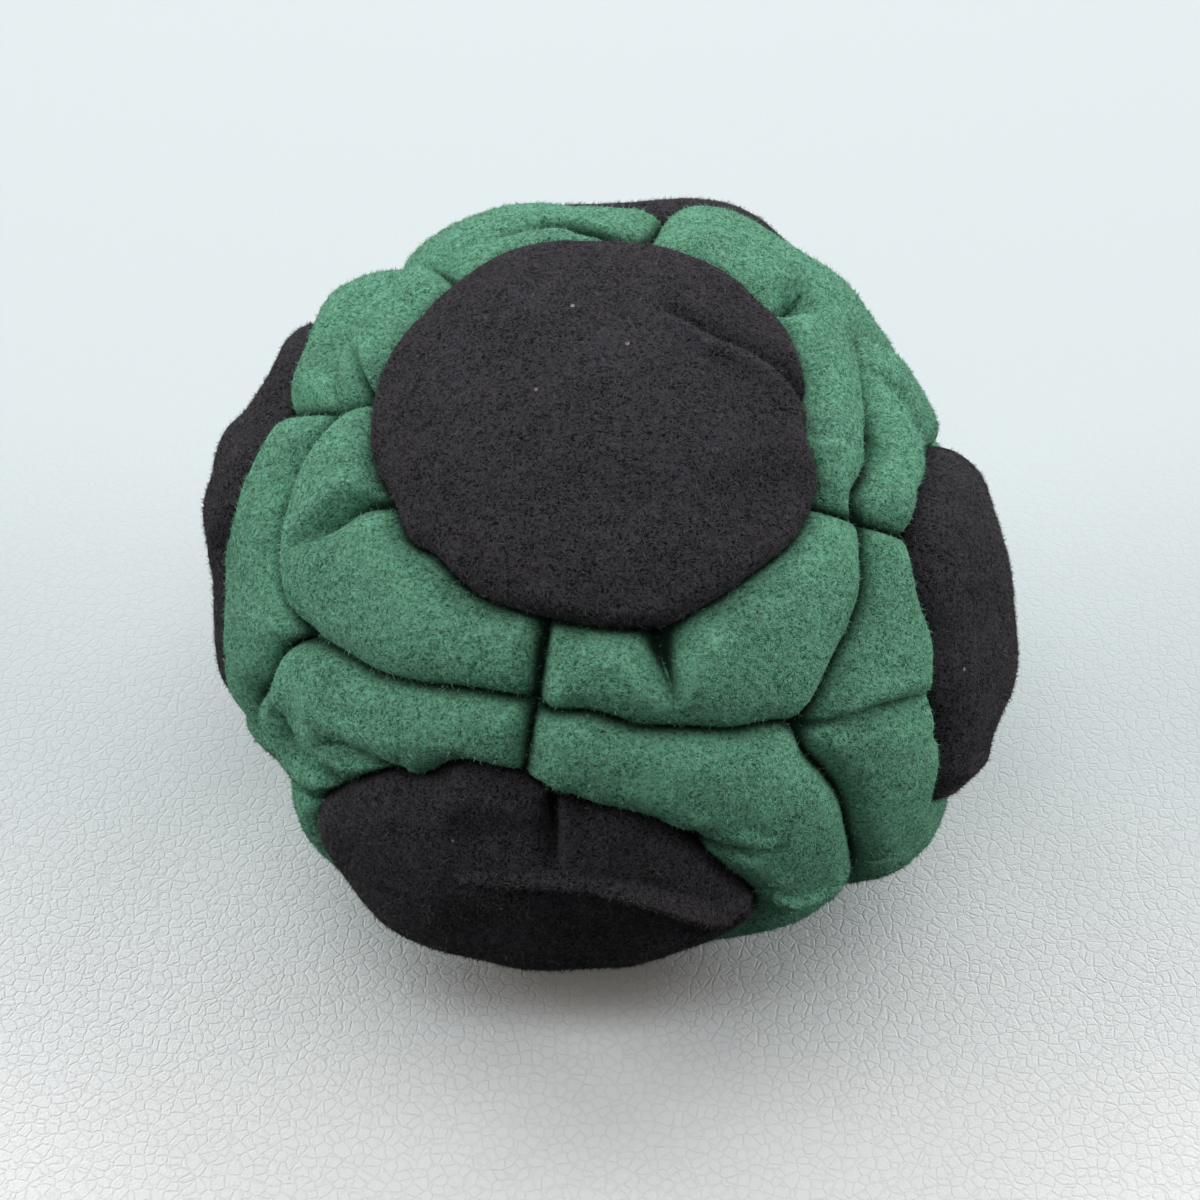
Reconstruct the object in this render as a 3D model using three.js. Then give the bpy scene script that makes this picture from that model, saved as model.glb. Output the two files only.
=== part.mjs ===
// Footbag: fourteen suede panels sewn over a sand-filled cloth bag, resting on a table.
// Millimetres, +Z up, -Y towards the viewer. The origin is the middle of the flattened underside.
import * as THREE from "three";
import { mergeVertices } from "three/addons/utils/BufferGeometryUtils.js";

// Driving sizes
const ballWidth = 52; // across the bag at its widest
const ballHeight = 44; // top to bottom before the underside is pressed flat
const pressedFlat = 1.8; // how much of the underside the table pushes in
const pressedBlend = 0.5; // height over which the flat underside rounds up into the side
const armWidth = 11; // across an arm of a three-armed panel, between the seams of two round ones
const suedeThickness = 0.9;
const seamAllowance = 2.4; // edge turned inward beyond the seam
const seamGap = 0.4; // clearance between two sewn edges
const seamDepth = 2.1; // how far a seam sinks between two puffed panels
const seamReach = 3.3; // how far from a seam the suede starts to dip
const foldDepth = 2.2; // creases along the arms of the three-armed panels
const foldReach = 2.9;
const crownHeight = 0.4; // how far a full round panel bulges beyond the ball
const dentDepth = 1.5; // other wrinkles
const dentReach = 2.5;
const outlineBulge = 2.7; // most that the slumped bag bulges beyond a flattened ball
const threadThickness = 0.5;
const threadClearance = 0.3;
const linerThickness = 0.5;
const linerClearance = 0.5; // liner to the turned-in edges
const mouthWidth = 9; // filling mouth of the liner
const sandClearance = 0.3;
const linerDomeShare = 0.85; // how far over a round panel the liner bulges into it
const threadHeightShare = 0.25; // how far up a turned-in edge the stitches lie
const threadEndShare = 0.6; // how far a short seam's stitches run from its middle to each end

// How the bag lies: turned about the upright axis, then tipped towards the viewer
const lieTurn = THREE.MathUtils.degToRad(-12.7);
const lieTip = THREE.MathUtils.degToRad(10.4);

// The camera of the photograph, for reading places on the bag in pixels of its 1200 by 1200 frame
const photoCentrePixel = [613, 589];
const photoRadiusPixels = 395.7;
const photoElevation = THREE.MathUtils.degToRad(47);
const photoDistanceShare = 8.5; // in half widths of the bag
const photoSquashShare = 0.842; // height to width of the bag in the photograph
const photoDiscAngle = THREE.MathUtils.degToRad(32.9); // half a round panel, seen from the bag's centre
const seenSeamShare = 0.6; // how deep in a groove the photograph shows its line
const seenDentShare = 0.5;
const hiddenFacing = 0.2; // share of full facing below which nothing of a groove's depth is seen
const openFacing = 0.5; // and above which all of it is

// Bulge of the bag round the outline that the photograph shows, at even turns from its right, anticlockwise
const bulgeShares = [
  -0.07, -0.21, -0.57, -0.06, 0.47, 1, 0.63, 0.87, 0.73, 0.84, 0.41, 0.5,
  -0.04, 0.12, -0.24, 0.13, 0.54, 0.33, 0.01, -0.28, -0.03, 0.36, 0.44, 0.22,
];
const bulgeFadeShare = 0.8; // where the bulge has faded out towards the viewer, of the half width

// Round panels: the way each faces as the bag would stand unturned, its share of the full crown,
// the pixel where its seam is deepest, and the pixels of its seam outline
const discs = {
  top: {
    axis: [0, 0, 1],
    crownShare: -1.2,
    deepShare: 0.35,
    deepPixel: [480, 600],
    outlinePixels: [
      [600, 250], [497, 268], [421, 328], [374, 418], [376, 472], [395, 507], [408, 542], [433, 558],
      [475, 596], [539, 619], [590, 629], [631, 632], [667, 629], [698, 613], [752, 577], [800, 536],
      [819, 491], [806, 443], [803, 386], [771, 322], [695, 268],
    ],
  },
  bottom: { axis: [0, 0, -1], crownShare: 0, deepShare: 0, outlinePixels: [] },
  front: {
    axis: [0, -1, 0],
    crownShare: -0.25,
    deepShare: 0.15,
    deepPixel: [422, 777],
    outlinePixels: [
      [315, 810], [340, 789], [380, 774], [422, 777], [459, 763], [514, 774], [560, 795], [588, 807],
      [637, 813], [683, 835], [722, 865], [756, 905],
    ],
  },
  back: {
    axis: [-0.03, 1, 0.04],
    crownShare: 0.75,
    deepShare: 0,
    outlinePixels: [],
  },
  left: {
    axis: [-1, 0.05, 0],
    crownShare: 0.75,
    deepShare: 0,
    outlinePixels: [[296, 345], [288, 395], [268, 445], [249, 483], [240, 520], [230, 560]],
  },
  right: {
    axis: [1, 0.1, 0.09],
    crownShare: 1,
    deepShare: 0.15,
    deepPixel: [932, 640],
    outlinePixels: [
      [940, 442], [922, 480], [908, 540], [914, 590], [930, 640], [928, 690], [936, 740], [935, 810],
    ],
  },
};

// Short seams between three-armed panels: pixels of the ends and middle, where the photograph shows them,
// and the share of the full depth
const seamPixels = {
  top_front: { start: [542, 642], middle: [534, 703], end: [523, 763], depthShare: 1 },
  top_right: { start: [819, 507], middle: [864, 523], end: [906, 537], depthShare: 1 },
  top_left: { start: [390, 397], middle: [340, 412], end: [296, 406], depthShare: 1 },
  front_right: { start: [752, 912], middle: [859, 870], end: [934, 815], depthShare: 0.55 },
};

// Middles of the three-armed panels, and the creases that run from there to the short seams
const cornerPixels = {
  top_front_right: [800, 728],
  top_front_left: [308, 637],
  top_back_left: [420, 254],
};
const foldPixels = {
  top_front_right: {
    top_front: [[772, 726], [737, 733], [681, 731], [640, 729], [593, 715], [551, 713]],
    top_right: [[822, 694], [839, 655], [854, 624], [864, 590], [864, 548]],
    front_right: [[806, 752], [826, 774], [843, 800], [850, 830]],
  },
  top_front_left: {
    top_front: [[340, 655], [374, 675], [418, 686], [475, 693]],
    top_left: [[284, 599], [280, 554], [287, 506], [304, 459], [323, 433]],
    front_left: [[284, 649], [274, 669], [270, 683], [256, 703]],
  },
  top_back_right: {
    top_right: [[853, 350], [862, 386], [867, 422], [875, 447], [866, 474], [856, 500]],
  },
  top_back_left: {
    top_left: [[372, 283], [350, 320], [338, 372]],
    top_back: [[496, 227], [528, 218], [560, 219], [600, 231], [625, 241]],
  },
};
const unseenWanderShare = 0.05; // sideways wander of a crease on the far side, of its length

// Other dents and wrinkles: pixels along each, and its shares of the full depth and reach.
// A soft one is a rounded valley, or a ridge where its depth is below zero.
const dents = [
  {
    on: "top", depthShare: 1, reachShare: 1,
    linePixels: [[666, 322], [711, 348], [740, 360], [771, 379], [803, 408]],
  },
  {
    on: "top", depthShare: -0.4, reachShare: 1.2, soft: true,
    linePixels: [[700, 318], [745, 338], [785, 368]],
  },
  {
    on: "top", depthShare: 0.25, reachShare: 1.6, soft: true,
    linePixels: [[551, 495], [680, 502], [800, 505]],
  },
  {
    on: "front", depthShare: 0.75, reachShare: 1,
    linePixels: [[553, 795], [554, 815], [556, 840]],
  },
  {
    on: "front", depthShare: -0.55, reachShare: 1.3, soft: true,
    linePixels: [[440, 868], [545, 878], [661, 887], [740, 905]],
  },
  {
    on: "right", depthShare: -0.3, reachShare: 0.6, soft: true,
    linePixels: [[947, 784], [985, 757], [1009, 738]],
  },
  {
    on: "right", depthShare: 0.7, reachShare: 1.1, soft: true,
    linePixels: [[956, 450], [976, 476]],
  },
  {
    on: "right", depthShare: 0.65, reachShare: 1.2, soft: true,
    linePixels: [[1006, 750], [985, 782], [955, 812]],
  },
  {
    on: "top_front_right", depthShare: 1, reachShare: 1,
    linePixels: [[809, 728], [837, 720], [880, 705], [922, 696]],
  },
  {
    on: "top_front_right", depthShare: 1, reachShare: 1,
    linePixels: [[657, 632], [662, 656], [668, 678], [677, 702]],
  },
  {
    on: "top_front_right", depthShare: 0.7, reachShare: 0.8,
    linePixels: [[672, 830], [700, 833], [724, 829], [758, 824]],
  },
  {
    on: "top_front_left", depthShare: 1, reachShare: 1,
    linePixels: [[396, 504], [373, 508], [343, 530], [310, 547]],
  },
  {
    on: "top_front_left", depthShare: 0.7, reachShare: 0.9,
    linePixels: [[296, 712], [308, 733], [326, 755], [346, 776]],
  },
  {
    on: "top_front_left", depthShare: 0.7, reachShare: 0.9,
    linePixels: [[345, 736], [365, 745], [385, 756], [405, 770]],
  },
  {
    on: "top_back_left", depthShare: 0.9, reachShare: 1,
    linePixels: [[424, 258], [440, 272], [458, 287]],
  },
  {
    on: "top_back_right", depthShare: 0.8, reachShare: 0.9,
    linePixels: [[775, 321], [790, 308], [802, 297]],
  },
];
const dentEndShare = 0.12; // a dent fades to its ends from this far beyond them

// Mesh lines, closer where the suede dips. Inside faces use every second line.
const alongShares = [0, 0.14, 0.28, 0.42, 0.56, 0.7, 0.83, 0.94, 1];
const acrossShares = [0, 0.12, 0.42, 0.82, 1];
const discRingShares = [0.22, 0.42, 0.6, 0.75, 0.87, 0.95, 1];
const discInnerRingShares = [0.4, 0.72, 1];
const threadSides = 4;
const threadSteps = 8;
const ballTurnSteps = 28;
const ballRiseSteps = 14;
const mergeTolerance = 1e-4; // corners of triangles closer than this are one
const seenPasses = 3;

// Sizes that follow from the driving ones
const halfWidth = ballWidth / 2;
const squashShare = ballHeight / ballWidth;
const restHeight = ballHeight / 2 - pressedFlat;
const discAngle = Math.PI / 4 - armWidth / ballWidth;
const edgeDepth = Math.max(seamDepth, foldDepth) + seamAllowance;
const seenDepth = seamDepth * seenSeamShare;
const sewnInset = seamGap / 2;
const edgeInset = sewnInset + suedeThickness;
const threadInset = edgeInset + threadClearance + threadThickness / 2;
const threadDepth = edgeDepth - seamAllowance * threadHeightShare;
const creaseMeetingDepth = together([foldDepth, foldDepth, foldDepth]) + suedeThickness;
const linerDepth = Math.max(edgeDepth, creaseMeetingDepth) + linerClearance;
const linerDomeDepth = suedeThickness + linerClearance + sewnInset;
const mouthAngle = mouthWidth / ballWidth;
const innerAlongShares = alongShares.filter((_, index) => index % 2 === 0);
const acrossPlaces = bothSides(acrossShares);
const innerAcrossPlaces = bothSides(acrossShares.filter((_, index) => index % 2 === 0));

const towardsViewer = new THREE.Vector3(0, -Math.cos(photoElevation), Math.sin(photoElevation));
const photoUp = new THREE.Vector3(0, Math.sin(photoElevation), Math.cos(photoElevation));
const bulgeAxis = towardsViewer.clone().setZ(towardsViewer.z / squashShare).normalize();
const bulgeUp = new THREE.Vector3(0, bulgeAxis.z, -bulgeAxis.y);
const lie = new THREE.Matrix4()
  .makeRotationZ(lieTurn)
  .multiply(new THREE.Matrix4().makeRotationX(lieTip));

const suedeBlack = new THREE.MeshStandardMaterial({ color: 0x322d30, roughness: 0.96, metalness: 0 });
const suedeGreen = new THREE.MeshStandardMaterial({ color: 0x4f9a72, roughness: 0.95, metalness: 0 });
const sewingThread = new THREE.MeshStandardMaterial({ color: 0x23262a, roughness: 0.8, metalness: 0 });
const linerCotton = new THREE.MeshStandardMaterial({ color: 0xd9d3c4, roughness: 0.9, metalness: 0 });
const drySand = new THREE.MeshStandardMaterial({ color: 0xc6ae83, roughness: 1, metalness: 0 });

// How far the slumped bag bulges beyond the flattened ball in a direction: the heights round its outline,
// eased between, and fading towards the viewer and away
function bulge(direction) {
  const turn = Math.atan2(direction.dot(bulgeUp), direction.x) / (2 * Math.PI);
  const step = (turn + 1) * bulgeShares.length;
  const index = Math.floor(step);
  const from = bulgeShares[index % bulgeShares.length];
  const to = bulgeShares[(index + 1) % bulgeShares.length];
  const eased = (1 - Math.cos(Math.PI * (step - index))) / 2;
  const share = THREE.MathUtils.lerp(from, to, eased);
  return share * outlineBulge * bell(direction.dot(bulgeAxis), bulgeFadeShare);
}

// Direction from the bag's centre to the place that a pixel of the photograph shows, at a depth
// below the surface, on the bag drawn round. Each pass corrects for the bulge there. Where the surface turns
// away from the viewer, its near side hides the bottom of a groove, so less of the depth counts.
function seenAt([column, row], depth = 0) {
  const [centreColumn, centreRow] = photoCentrePixel;
  const unit = photoRadiusPixels * photoDistanceShare;
  const ray = photoUp.clone().multiplyScalar((centreRow - row) / unit).sub(towardsViewer);
  ray.x += (column - centreColumn) / unit;
  ray.z /= photoSquashShare;
  const eye = towardsViewer.clone().multiplyScalar(photoDistanceShare);
  eye.z /= photoSquashShare;
  const along = ray.lengthSq();
  const half = eye.dot(ray);
  const cut = (start, below) => {
    let hit = start;
    for (let pass = 0; pass < seenPasses; pass += 1) {
      const radius = 1 + (bulge(hit) - below) / halfWidth;
      const inside = Math.max(half * half - along * (eye.lengthSq() - radius * radius), 0);
      hit = eye.clone().addScaledVector(ray, (-half - Math.sqrt(inside)) / along).normalize();
    }
    return hit;
  };
  const onSurface = cut(new THREE.Vector3(), 0);
  const openness = (onSurface.dot(bulgeAxis) - hiddenFacing) / (openFacing - hiddenFacing);
  return cut(onSurface, depth * THREE.MathUtils.clamp(openness, 0, 1));
}

// A point of the bag: a direction, its depth below the surface and the crown above the bulging ball
function place(direction, depth, crown) {
  const reach = halfWidth + bulge(direction) + crown - depth;
  const height = restHeight + direction.z * reach * squashShare;
  return new THREE.Vector3(direction.x * reach, direction.y * reach, smoothMax(height, Math.max(depth, 0)));
}

// Mesh lines on both sides of a crease, from one edge of an arm (-1) to the other (1)
function bothSides(shares) {
  return [...shares.slice(1).reverse().map((share) => -share), ...shares];
}

function smoothMax(value, floor) {
  const overlap = Math.max(pressedBlend - Math.abs(value - floor), 0) / pressedBlend;
  return Math.max(value, floor) + (overlap * overlap * pressedBlend) / 4;
}

// Depth share of a sewn or folded groove: a cusp between two rounded shoulders
function groove(distance, reach) {
  const near = Math.max(1 - distance / reach, 0);
  return 1 - Math.sqrt(1 - near * near);
}

function bell(distance, reach) {
  const near = Math.max(1 - (distance / reach) ** 2, 0);
  return near * near;
}

// Several grooves together, without adding up where they meet
function together(depths) {
  const power = 3;
  return depths.reduce((sum, depth) => sum + depth ** power, 0) ** (1 / power);
}

// Angle from a round panel's middle, and the angle round it
function around(disc, direction) {
  const lean = Math.acos(THREE.MathUtils.clamp(direction.dot(disc.middle), -1, 1));
  return { lean, turn: Math.atan2(direction.dot(disc.side), direction.dot(disc.forward)) };
}

function discDirection(disc, lean, turn) {
  const out = disc.forward.clone().multiplyScalar(Math.cos(turn));
  out.addScaledVector(disc.side, Math.sin(turn));
  return disc.middle.clone().multiplyScalar(Math.cos(lean)).addScaledVector(out, Math.sin(lean));
}

// Seam outline of a round panel as shares of its nominal radius; unseen stretches keep that radius
function outlineOf(disc) {
  const fullTurn = 2 * Math.PI;
  const unseenStep = THREE.MathUtils.degToRad(40);
  const read = disc.outlinePixels.map((pixel) => {
    const seen = around(disc, seenAt(pixel, seenDepth));
    return { turn: seen.turn, share: seen.lean / photoDiscAngle };
  });
  if (read.length === 0) read.push({ turn: 0, share: 1 });
  read.sort((first, second) => first.turn - second.turn);
  const filled = [];
  read.forEach((point, index) => {
    const next = read[index + 1] ?? { turn: read[0].turn + fullTurn };
    const steps = Math.max(Math.floor((next.turn - point.turn) / unseenStep), 1);
    filled.push(point);
    for (let step = 1; step < steps; step += 1) {
      filled.push({ turn: point.turn + ((next.turn - point.turn) * step) / steps, share: 1 });
    }
  });
  return filled;
}

// Smooth closed curve through the outline's points
function seamLean(disc, turn) {
  const fullTurn = 2 * Math.PI;
  const points = disc.filled;
  const count = points.length;
  const at = (index) => ({
    turn: points[((index % count) + count) % count].turn + fullTurn * Math.floor(index / count),
    share: points[((index % count) + count) % count].share,
  });
  const start = points[0].turn;
  const wrapped = start + ((((turn - start) % fullTurn) + fullTurn) % fullTurn);
  let index = 0;
  while (index < count - 1 && at(index + 1).turn <= wrapped) index += 1;
  const [before, from, to, after] = [at(index - 1), at(index), at(index + 1), at(index + 2)];
  const span = to.turn - from.turn;
  const share = (wrapped - from.turn) / span;
  const slopeFrom = ((to.share - before.share) / (to.turn - before.turn)) * span;
  const slopeTo = ((after.share - from.share) / (after.turn - from.turn)) * span;
  const cube = share ** 3;
  const square = share ** 2;
  const value =
    (2 * cube - 3 * square + 1) * from.share +
    (cube - 2 * square + share) * slopeFrom +
    (3 * square - 2 * cube) * to.share +
    (cube - square) * slopeTo;
  return discAngle * value;
}

function seamDepthAt(disc, turn) {
  return seamDepth * (1 + disc.deepShare * Math.cos(turn - disc.deepTurn));
}

// Depth of the dents on one panel at a direction
function dentsAt(panelName, direction) {
  let sharp = 0;
  let soft = 0;
  for (const dent of dents.filter((each) => each.on === panelName)) {
    const { distance, share } = nearestOn(dent.line, direction);
    const fade = Math.sin(Math.PI * THREE.MathUtils.lerp(dentEndShare, 1 - dentEndShare, share));
    const depth = dent.depthShare * dentDepth * fade;
    const reach = dent.reachShare * dentReach;
    if (dent.soft) soft += depth * bell(distance, reach);
    else sharp = together([sharp, depth * groove(distance, reach)]);
  }
  return { sharp, soft };
}

// Distance, over the ball, from a direction to a line of directions, and how far along it is
function nearestOn(line, direction) {
  let best = { distance: Infinity, share: 0 };
  for (let index = 0; index < line.length - 1; index += 1) {
    const leg = line[index + 1].clone().sub(line[index]);
    const toPoint = direction.clone().sub(line[index]);
    const share = THREE.MathUtils.clamp(toPoint.dot(leg) / leg.lengthSq(), 0, 1);
    const distance = toPoint.addScaledVector(leg, -share).length() * halfWidth;
    if (distance < best.distance) best = { distance, share: (index + share) / (line.length - 1) };
  }
  return best;
}

// A smooth crease through hand-read points, from a panel's middle to a short seam
function foldLine(corner, seam) {
  const pixels = foldPixels[corner.name]?.[seam.name];
  if (pixels) {
    const points = [corner.middle, ...pixels.map((pixel) => seenAt(pixel, seenDepth)), seam.middle];
    return new THREE.CatmullRomCurve3(points, false, "centripetal");
  }
  const sideways = corner.middle.clone().cross(seam.middle).normalize();
  const length = corner.middle.distanceTo(seam.middle);
  const bent = corner.middle.clone().add(seam.middle).multiplyScalar(0.5);
  bent.addScaledVector(sideways, corner.hand * unseenWanderShare * length).normalize();
  return new THREE.CatmullRomCurve3([corner.middle, bent, seam.middle], false, "centripetal");
}

// Triangles of one solid, gathered as loose corners and then merged
function gather() {
  const corners = [];
  const triangle = (first, second, third) => corners.push(first, second, third);
  const quad = (first, second, third, fourth) => {
    triangle(first, second, third);
    triangle(first, third, fourth);
  };
  const solid = () => {
    const loose = new THREE.BufferGeometry().setFromPoints(corners);
    return mergeVertices(loose, mergeTolerance);
  };
  return { triangle, quad, solid };
}

// Rows of points joined by faces; the rows' order and the points' order turn the faces outward
function joinRows(mesh, rows, inward) {
  for (let row = 0; row < rows.length - 1; row += 1) {
    for (let index = 0; index < rows[row].length - 1; index += 1) {
      const [near, far] = [rows[row][index], rows[row + 1][index]];
      const [farNext, nearNext] = [rows[row + 1][index + 1], rows[row][index + 1]];
      if (inward) mesh.quad(farNext, far, near, nearNext);
      else mesh.quad(near, far, farNext, nearNext);
    }
  }
}

// Wall between two closed loops with as many points each
function joinLoops(mesh, upper, lower) {
  upper.forEach((point, index) => {
    const next = (index + 1) % upper.length;
    mesh.quad(lower[index], lower[next], upper[next], point);
  });
}

// Wall from a closed loop to one with half as many points
function joinHalfLoop(mesh, full, half) {
  half.forEach((point, index) => {
    const nextHalf = half[(index + 1) % half.length];
    const between = full[2 * index + 1];
    mesh.triangle(point, nextHalf, between);
    mesh.triangle(nextHalf, full[(2 * index + 2) % full.length], between);
    mesh.triangle(point, between, full[2 * index]);
  });
}

// A round panel: domed outside, edge turned in along the seam, and the inside face
function discSolid(disc) {
  const mesh = gather();
  const surface = (turn, ringShare, inset, under) => {
    const lean = (seamLean(disc, turn) - inset / halfWidth) * ringShare;
    const direction = discDirection(disc, lean, turn);
    const toSeam = (seamLean(disc, turn) - lean) * halfWidth;
    const dent = dentsAt(disc.name, direction);
    const depth = together([seamDepthAt(disc, turn) * groove(toSeam, seamReach), dent.sharp]);
    const crown = disc.crownShare * crownHeight * bell(ringShare, 1);
    return place(direction, depth + under, crown - dent.soft);
  };
  const edge = (inset) =>
    disc.turns.map((turn) =>
      place(discDirection(disc, seamLean(disc, turn) - inset / halfWidth, turn), edgeDepth, 0));
  const everySecond = disc.turns.filter((_, index) => index % 2 === 0);
  const outside = discRingShares.map((share) =>
    disc.turns.map((turn) => surface(turn, share, sewnInset, 0)));
  const inside = discInnerRingShares.map((share) =>
    everySecond.map((turn) => surface(turn, share, edgeInset, suedeThickness)));
  capRing(mesh, surface(0, 0, sewnInset, 0), outside[0], false);
  joinRows(mesh, outside.map(closed), false);
  joinLoops(mesh, outside.at(-1), edge(sewnInset));
  joinLoops(mesh, edge(sewnInset), edge(edgeInset));
  joinHalfLoop(mesh, edge(edgeInset), inside.at(-1));
  joinRows(mesh, inside.map(closed), true);
  capRing(mesh, surface(0, 0, edgeInset, suedeThickness), inside[0], true);
  return mesh.solid();
}

function closed(loop) {
  return [...loop, loop[0]];
}

function capRing(mesh, middle, loop, inward) {
  loop.forEach((point, index) => {
    const next = loop[(index + 1) % loop.length];
    if (inward) mesh.triangle(middle, next, point);
    else mesh.triangle(middle, point, next);
  });
}

// Places on one arm of a three-armed panel. along runs from the panel's middle to the short seam,
// across from one round panel (-1) over the crease (0) to the other (1).
function armPlace(arm, along, across) {
  const side = across < 0 ? arm.sides[0] : arm.sides[1];
  const crease = arm.fold.getPoint(along).normalize();
  const turn = side.startTurn + side.sweep * along;
  const edge = discDirection(side.disc, seamLean(side.disc, turn), turn);
  return { crease, edge, turn, side, breadth: crease.angleTo(edge) * halfWidth };
}

function armDirection(arm, along, across, inset) {
  const length = armLength(arm, Math.abs(across));
  const inAlong = along * (1 - inset / length);
  const here = armPlace(arm, inAlong, across);
  const inAcross = Math.abs(across) * (1 - inset / here.breadth);
  const direction = here.crease.clone().lerp(here.edge, inAcross).normalize();
  return { direction, here, inAcross, toSeam: (1 - inAlong) * length };
}

function armLength(arm, acrossShare) {
  const creaseLength = arm.corner.middle.angleTo(arm.seam.middle) * halfWidth;
  const edgeLength = (Math.abs(arm.sides[0].sweep) + Math.abs(arm.sides[1].sweep)) / 2;
  return THREE.MathUtils.lerp(creaseLength, edgeLength * Math.sin(discAngle) * halfWidth, acrossShare);
}

function armSurface(arm, along, across, inset, under) {
  const { direction, here, inAcross, toSeam } = armDirection(arm, along, across, inset);
  const dent = dentsAt(arm.corner.name, direction);
  const depth = together([
    foldDepth * groove(inAcross * here.breadth, foldReach),
    seamDepthAt(here.side.disc, here.turn) * groove((1 - inAcross) * here.breadth, seamReach),
    arm.seam.depth * groove(toSeam, seamReach),
    dent.sharp,
  ]);
  return place(direction, depth + under, -dent.soft);
}

// Edge of the whole panel, arm after arm: out along one side, over the tip and back along the other
function panelLoop(corner, alongs, acrosses, pointAt) {
  return corner.arms.flatMap((arm) => [
    ...alongs.slice(0, -1).map((along) => pointAt(arm, along, -1)),
    ...acrosses.slice(0, -1).map((across) => pointAt(arm, 1, across)),
    ...alongs.slice(1).reverse().map((along) => pointAt(arm, along, 1)),
  ]);
}

// A three-armed panel, made of its arms, which meet at its middle
function panelSolid(corner) {
  const mesh = gather();
  const outside = (arm, along, across) => armSurface(arm, along, across, sewnInset, 0);
  const inside = (arm, along, across) => armSurface(arm, along, across, edgeInset, suedeThickness);
  const turnedIn = (inset) =>
    panelLoop(corner, alongShares, acrossPlaces, (arm, along, across) =>
      place(armDirection(arm, along, across, inset).direction, edgeDepth, 0));
  for (const arm of corner.arms) {
    const outerRows = alongShares.map((along) => acrossPlaces.map((across) => outside(arm, along, across)));
    const innerRows = innerAlongShares.map((along) =>
      innerAcrossPlaces.map((across) => inside(arm, along, across)));
    joinRows(mesh, outerRows, false);
    joinRows(mesh, innerRows, true);
  }
  joinLoops(mesh, panelLoop(corner, alongShares, acrossPlaces, outside), turnedIn(sewnInset));
  joinLoops(mesh, turnedIn(sewnInset), turnedIn(edgeInset));
  joinHalfLoop(mesh, turnedIn(edgeInset), panelLoop(corner, innerAlongShares, innerAcrossPlaces, inside));
  return mesh.solid();
}

// A thread: a thin tube along points, closed into a ring or with flat ends
function threadSolid(points, isRing) {
  const mesh = gather();
  const radius = threadThickness / 2;
  const count = points.length;
  const centre = new THREE.Vector3(0, 0, restHeight);
  const sections = points.map((point, index) => {
    const before = points[isRing ? (index + count - 1) % count : Math.max(index - 1, 0)];
    const after = points[isRing ? (index + 1) % count : Math.min(index + 1, count - 1)];
    const run = after.clone().sub(before).normalize();
    const fromCentre = point.clone().sub(centre);
    const outward = fromCentre.addScaledVector(run, -fromCentre.dot(run)).normalize();
    const sideways = outward.clone().cross(run);
    return Array.from({ length: threadSides }, (_, side) => {
      const angle = (2 * Math.PI * side) / threadSides;
      return point.clone().addScaledVector(outward, Math.cos(angle) * radius)
        .addScaledVector(sideways, Math.sin(angle) * radius);
    });
  });
  const rows = isRing ? closed(sections) : sections;
  joinRows(mesh, rows.map(closed), false);
  if (!isRing) {
    capRing(mesh, points[0], sections[0], false);
    capRing(mesh, points.at(-1), sections.at(-1), true);
  }
  return mesh.solid();
}

function discThread(disc) {
  const points = disc.turns.map((turn) =>
    place(discDirection(disc, seamLean(disc, turn) - threadInset / halfWidth, turn), threadDepth, 0));
  return threadSolid(points, true);
}

// The stitching of a short seam runs beside it, inside the panel that the seam's first arm belongs to
function shortSeamThread(arm) {
  const points = Array.from({ length: threadSteps + 1 }, (_, step) => {
    const across = threadEndShare * ((2 * step) / threadSteps - 1);
    return place(armDirection(arm, 1, across, threadInset).direction, threadDepth, 0);
  });
  return threadSolid(points, false);
}

// Depth of the liner: close under the middles of the round panels, below the turned-in edges elsewhere
function linerDepthAt(direction) {
  let depth = linerDepth;
  for (const disc of Object.values(discs)) {
    const lean = around(disc, direction).lean;
    const rise = linerDepth - linerDomeDepth + Math.min(disc.crownShare * crownHeight, 0);
    depth -= rise * bell(lean, discAngle * linerDomeShare);
  }
  return depth;
}

// Rows of points round the liner's mouth, from the mouth's rim to the far pole
function ballRows(pole, under) {
  const turnTo = new THREE.Quaternion().setFromUnitVectors(new THREE.Vector3(0, 0, 1), pole);
  return Array.from({ length: ballRiseSteps + 1 }, (_, row) => {
    const lean = mouthAngle + ((Math.PI - mouthAngle) * row) / ballRiseSteps;
    return Array.from({ length: ballTurnSteps }, (__, step) => {
      const turn = (2 * Math.PI * step) / ballTurnSteps;
      const level = new THREE.Vector3(Math.cos(turn), Math.sin(turn), 0).multiplyScalar(Math.sin(lean));
      const direction = level.setZ(Math.cos(lean)).applyQuaternion(turnTo);
      return place(direction, linerDepthAt(direction) + under, 0);
    });
  });
}

function linerSolid(mouth) {
  const mesh = gather();
  const outside = ballRows(mouth, 0);
  const inside = ballRows(mouth, linerThickness);
  joinRows(mesh, outside.slice(0, -1).map(closed), false);
  joinRows(mesh, inside.slice(0, -1).map(closed), true);
  capRing(mesh, outside.at(-1)[0], outside.at(-2).toReversed(), false);
  capRing(mesh, inside.at(-1)[0], inside.at(-2).toReversed(), true);
  joinLoops(mesh, inside[0], outside[0]);
  return mesh.solid();
}

function sandSolid(mouth) {
  const mesh = gather();
  const under = linerThickness + sandClearance;
  const rows = ballRows(mouth, under);
  joinRows(mesh, rows.slice(0, -1).map(closed), false);
  capRing(mesh, place(mouth, linerDepthAt(mouth) + under, 0), rows[0], false);
  capRing(mesh, rows.at(-1)[0], rows.at(-2).toReversed(), false);
  return mesh.solid();
}

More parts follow.
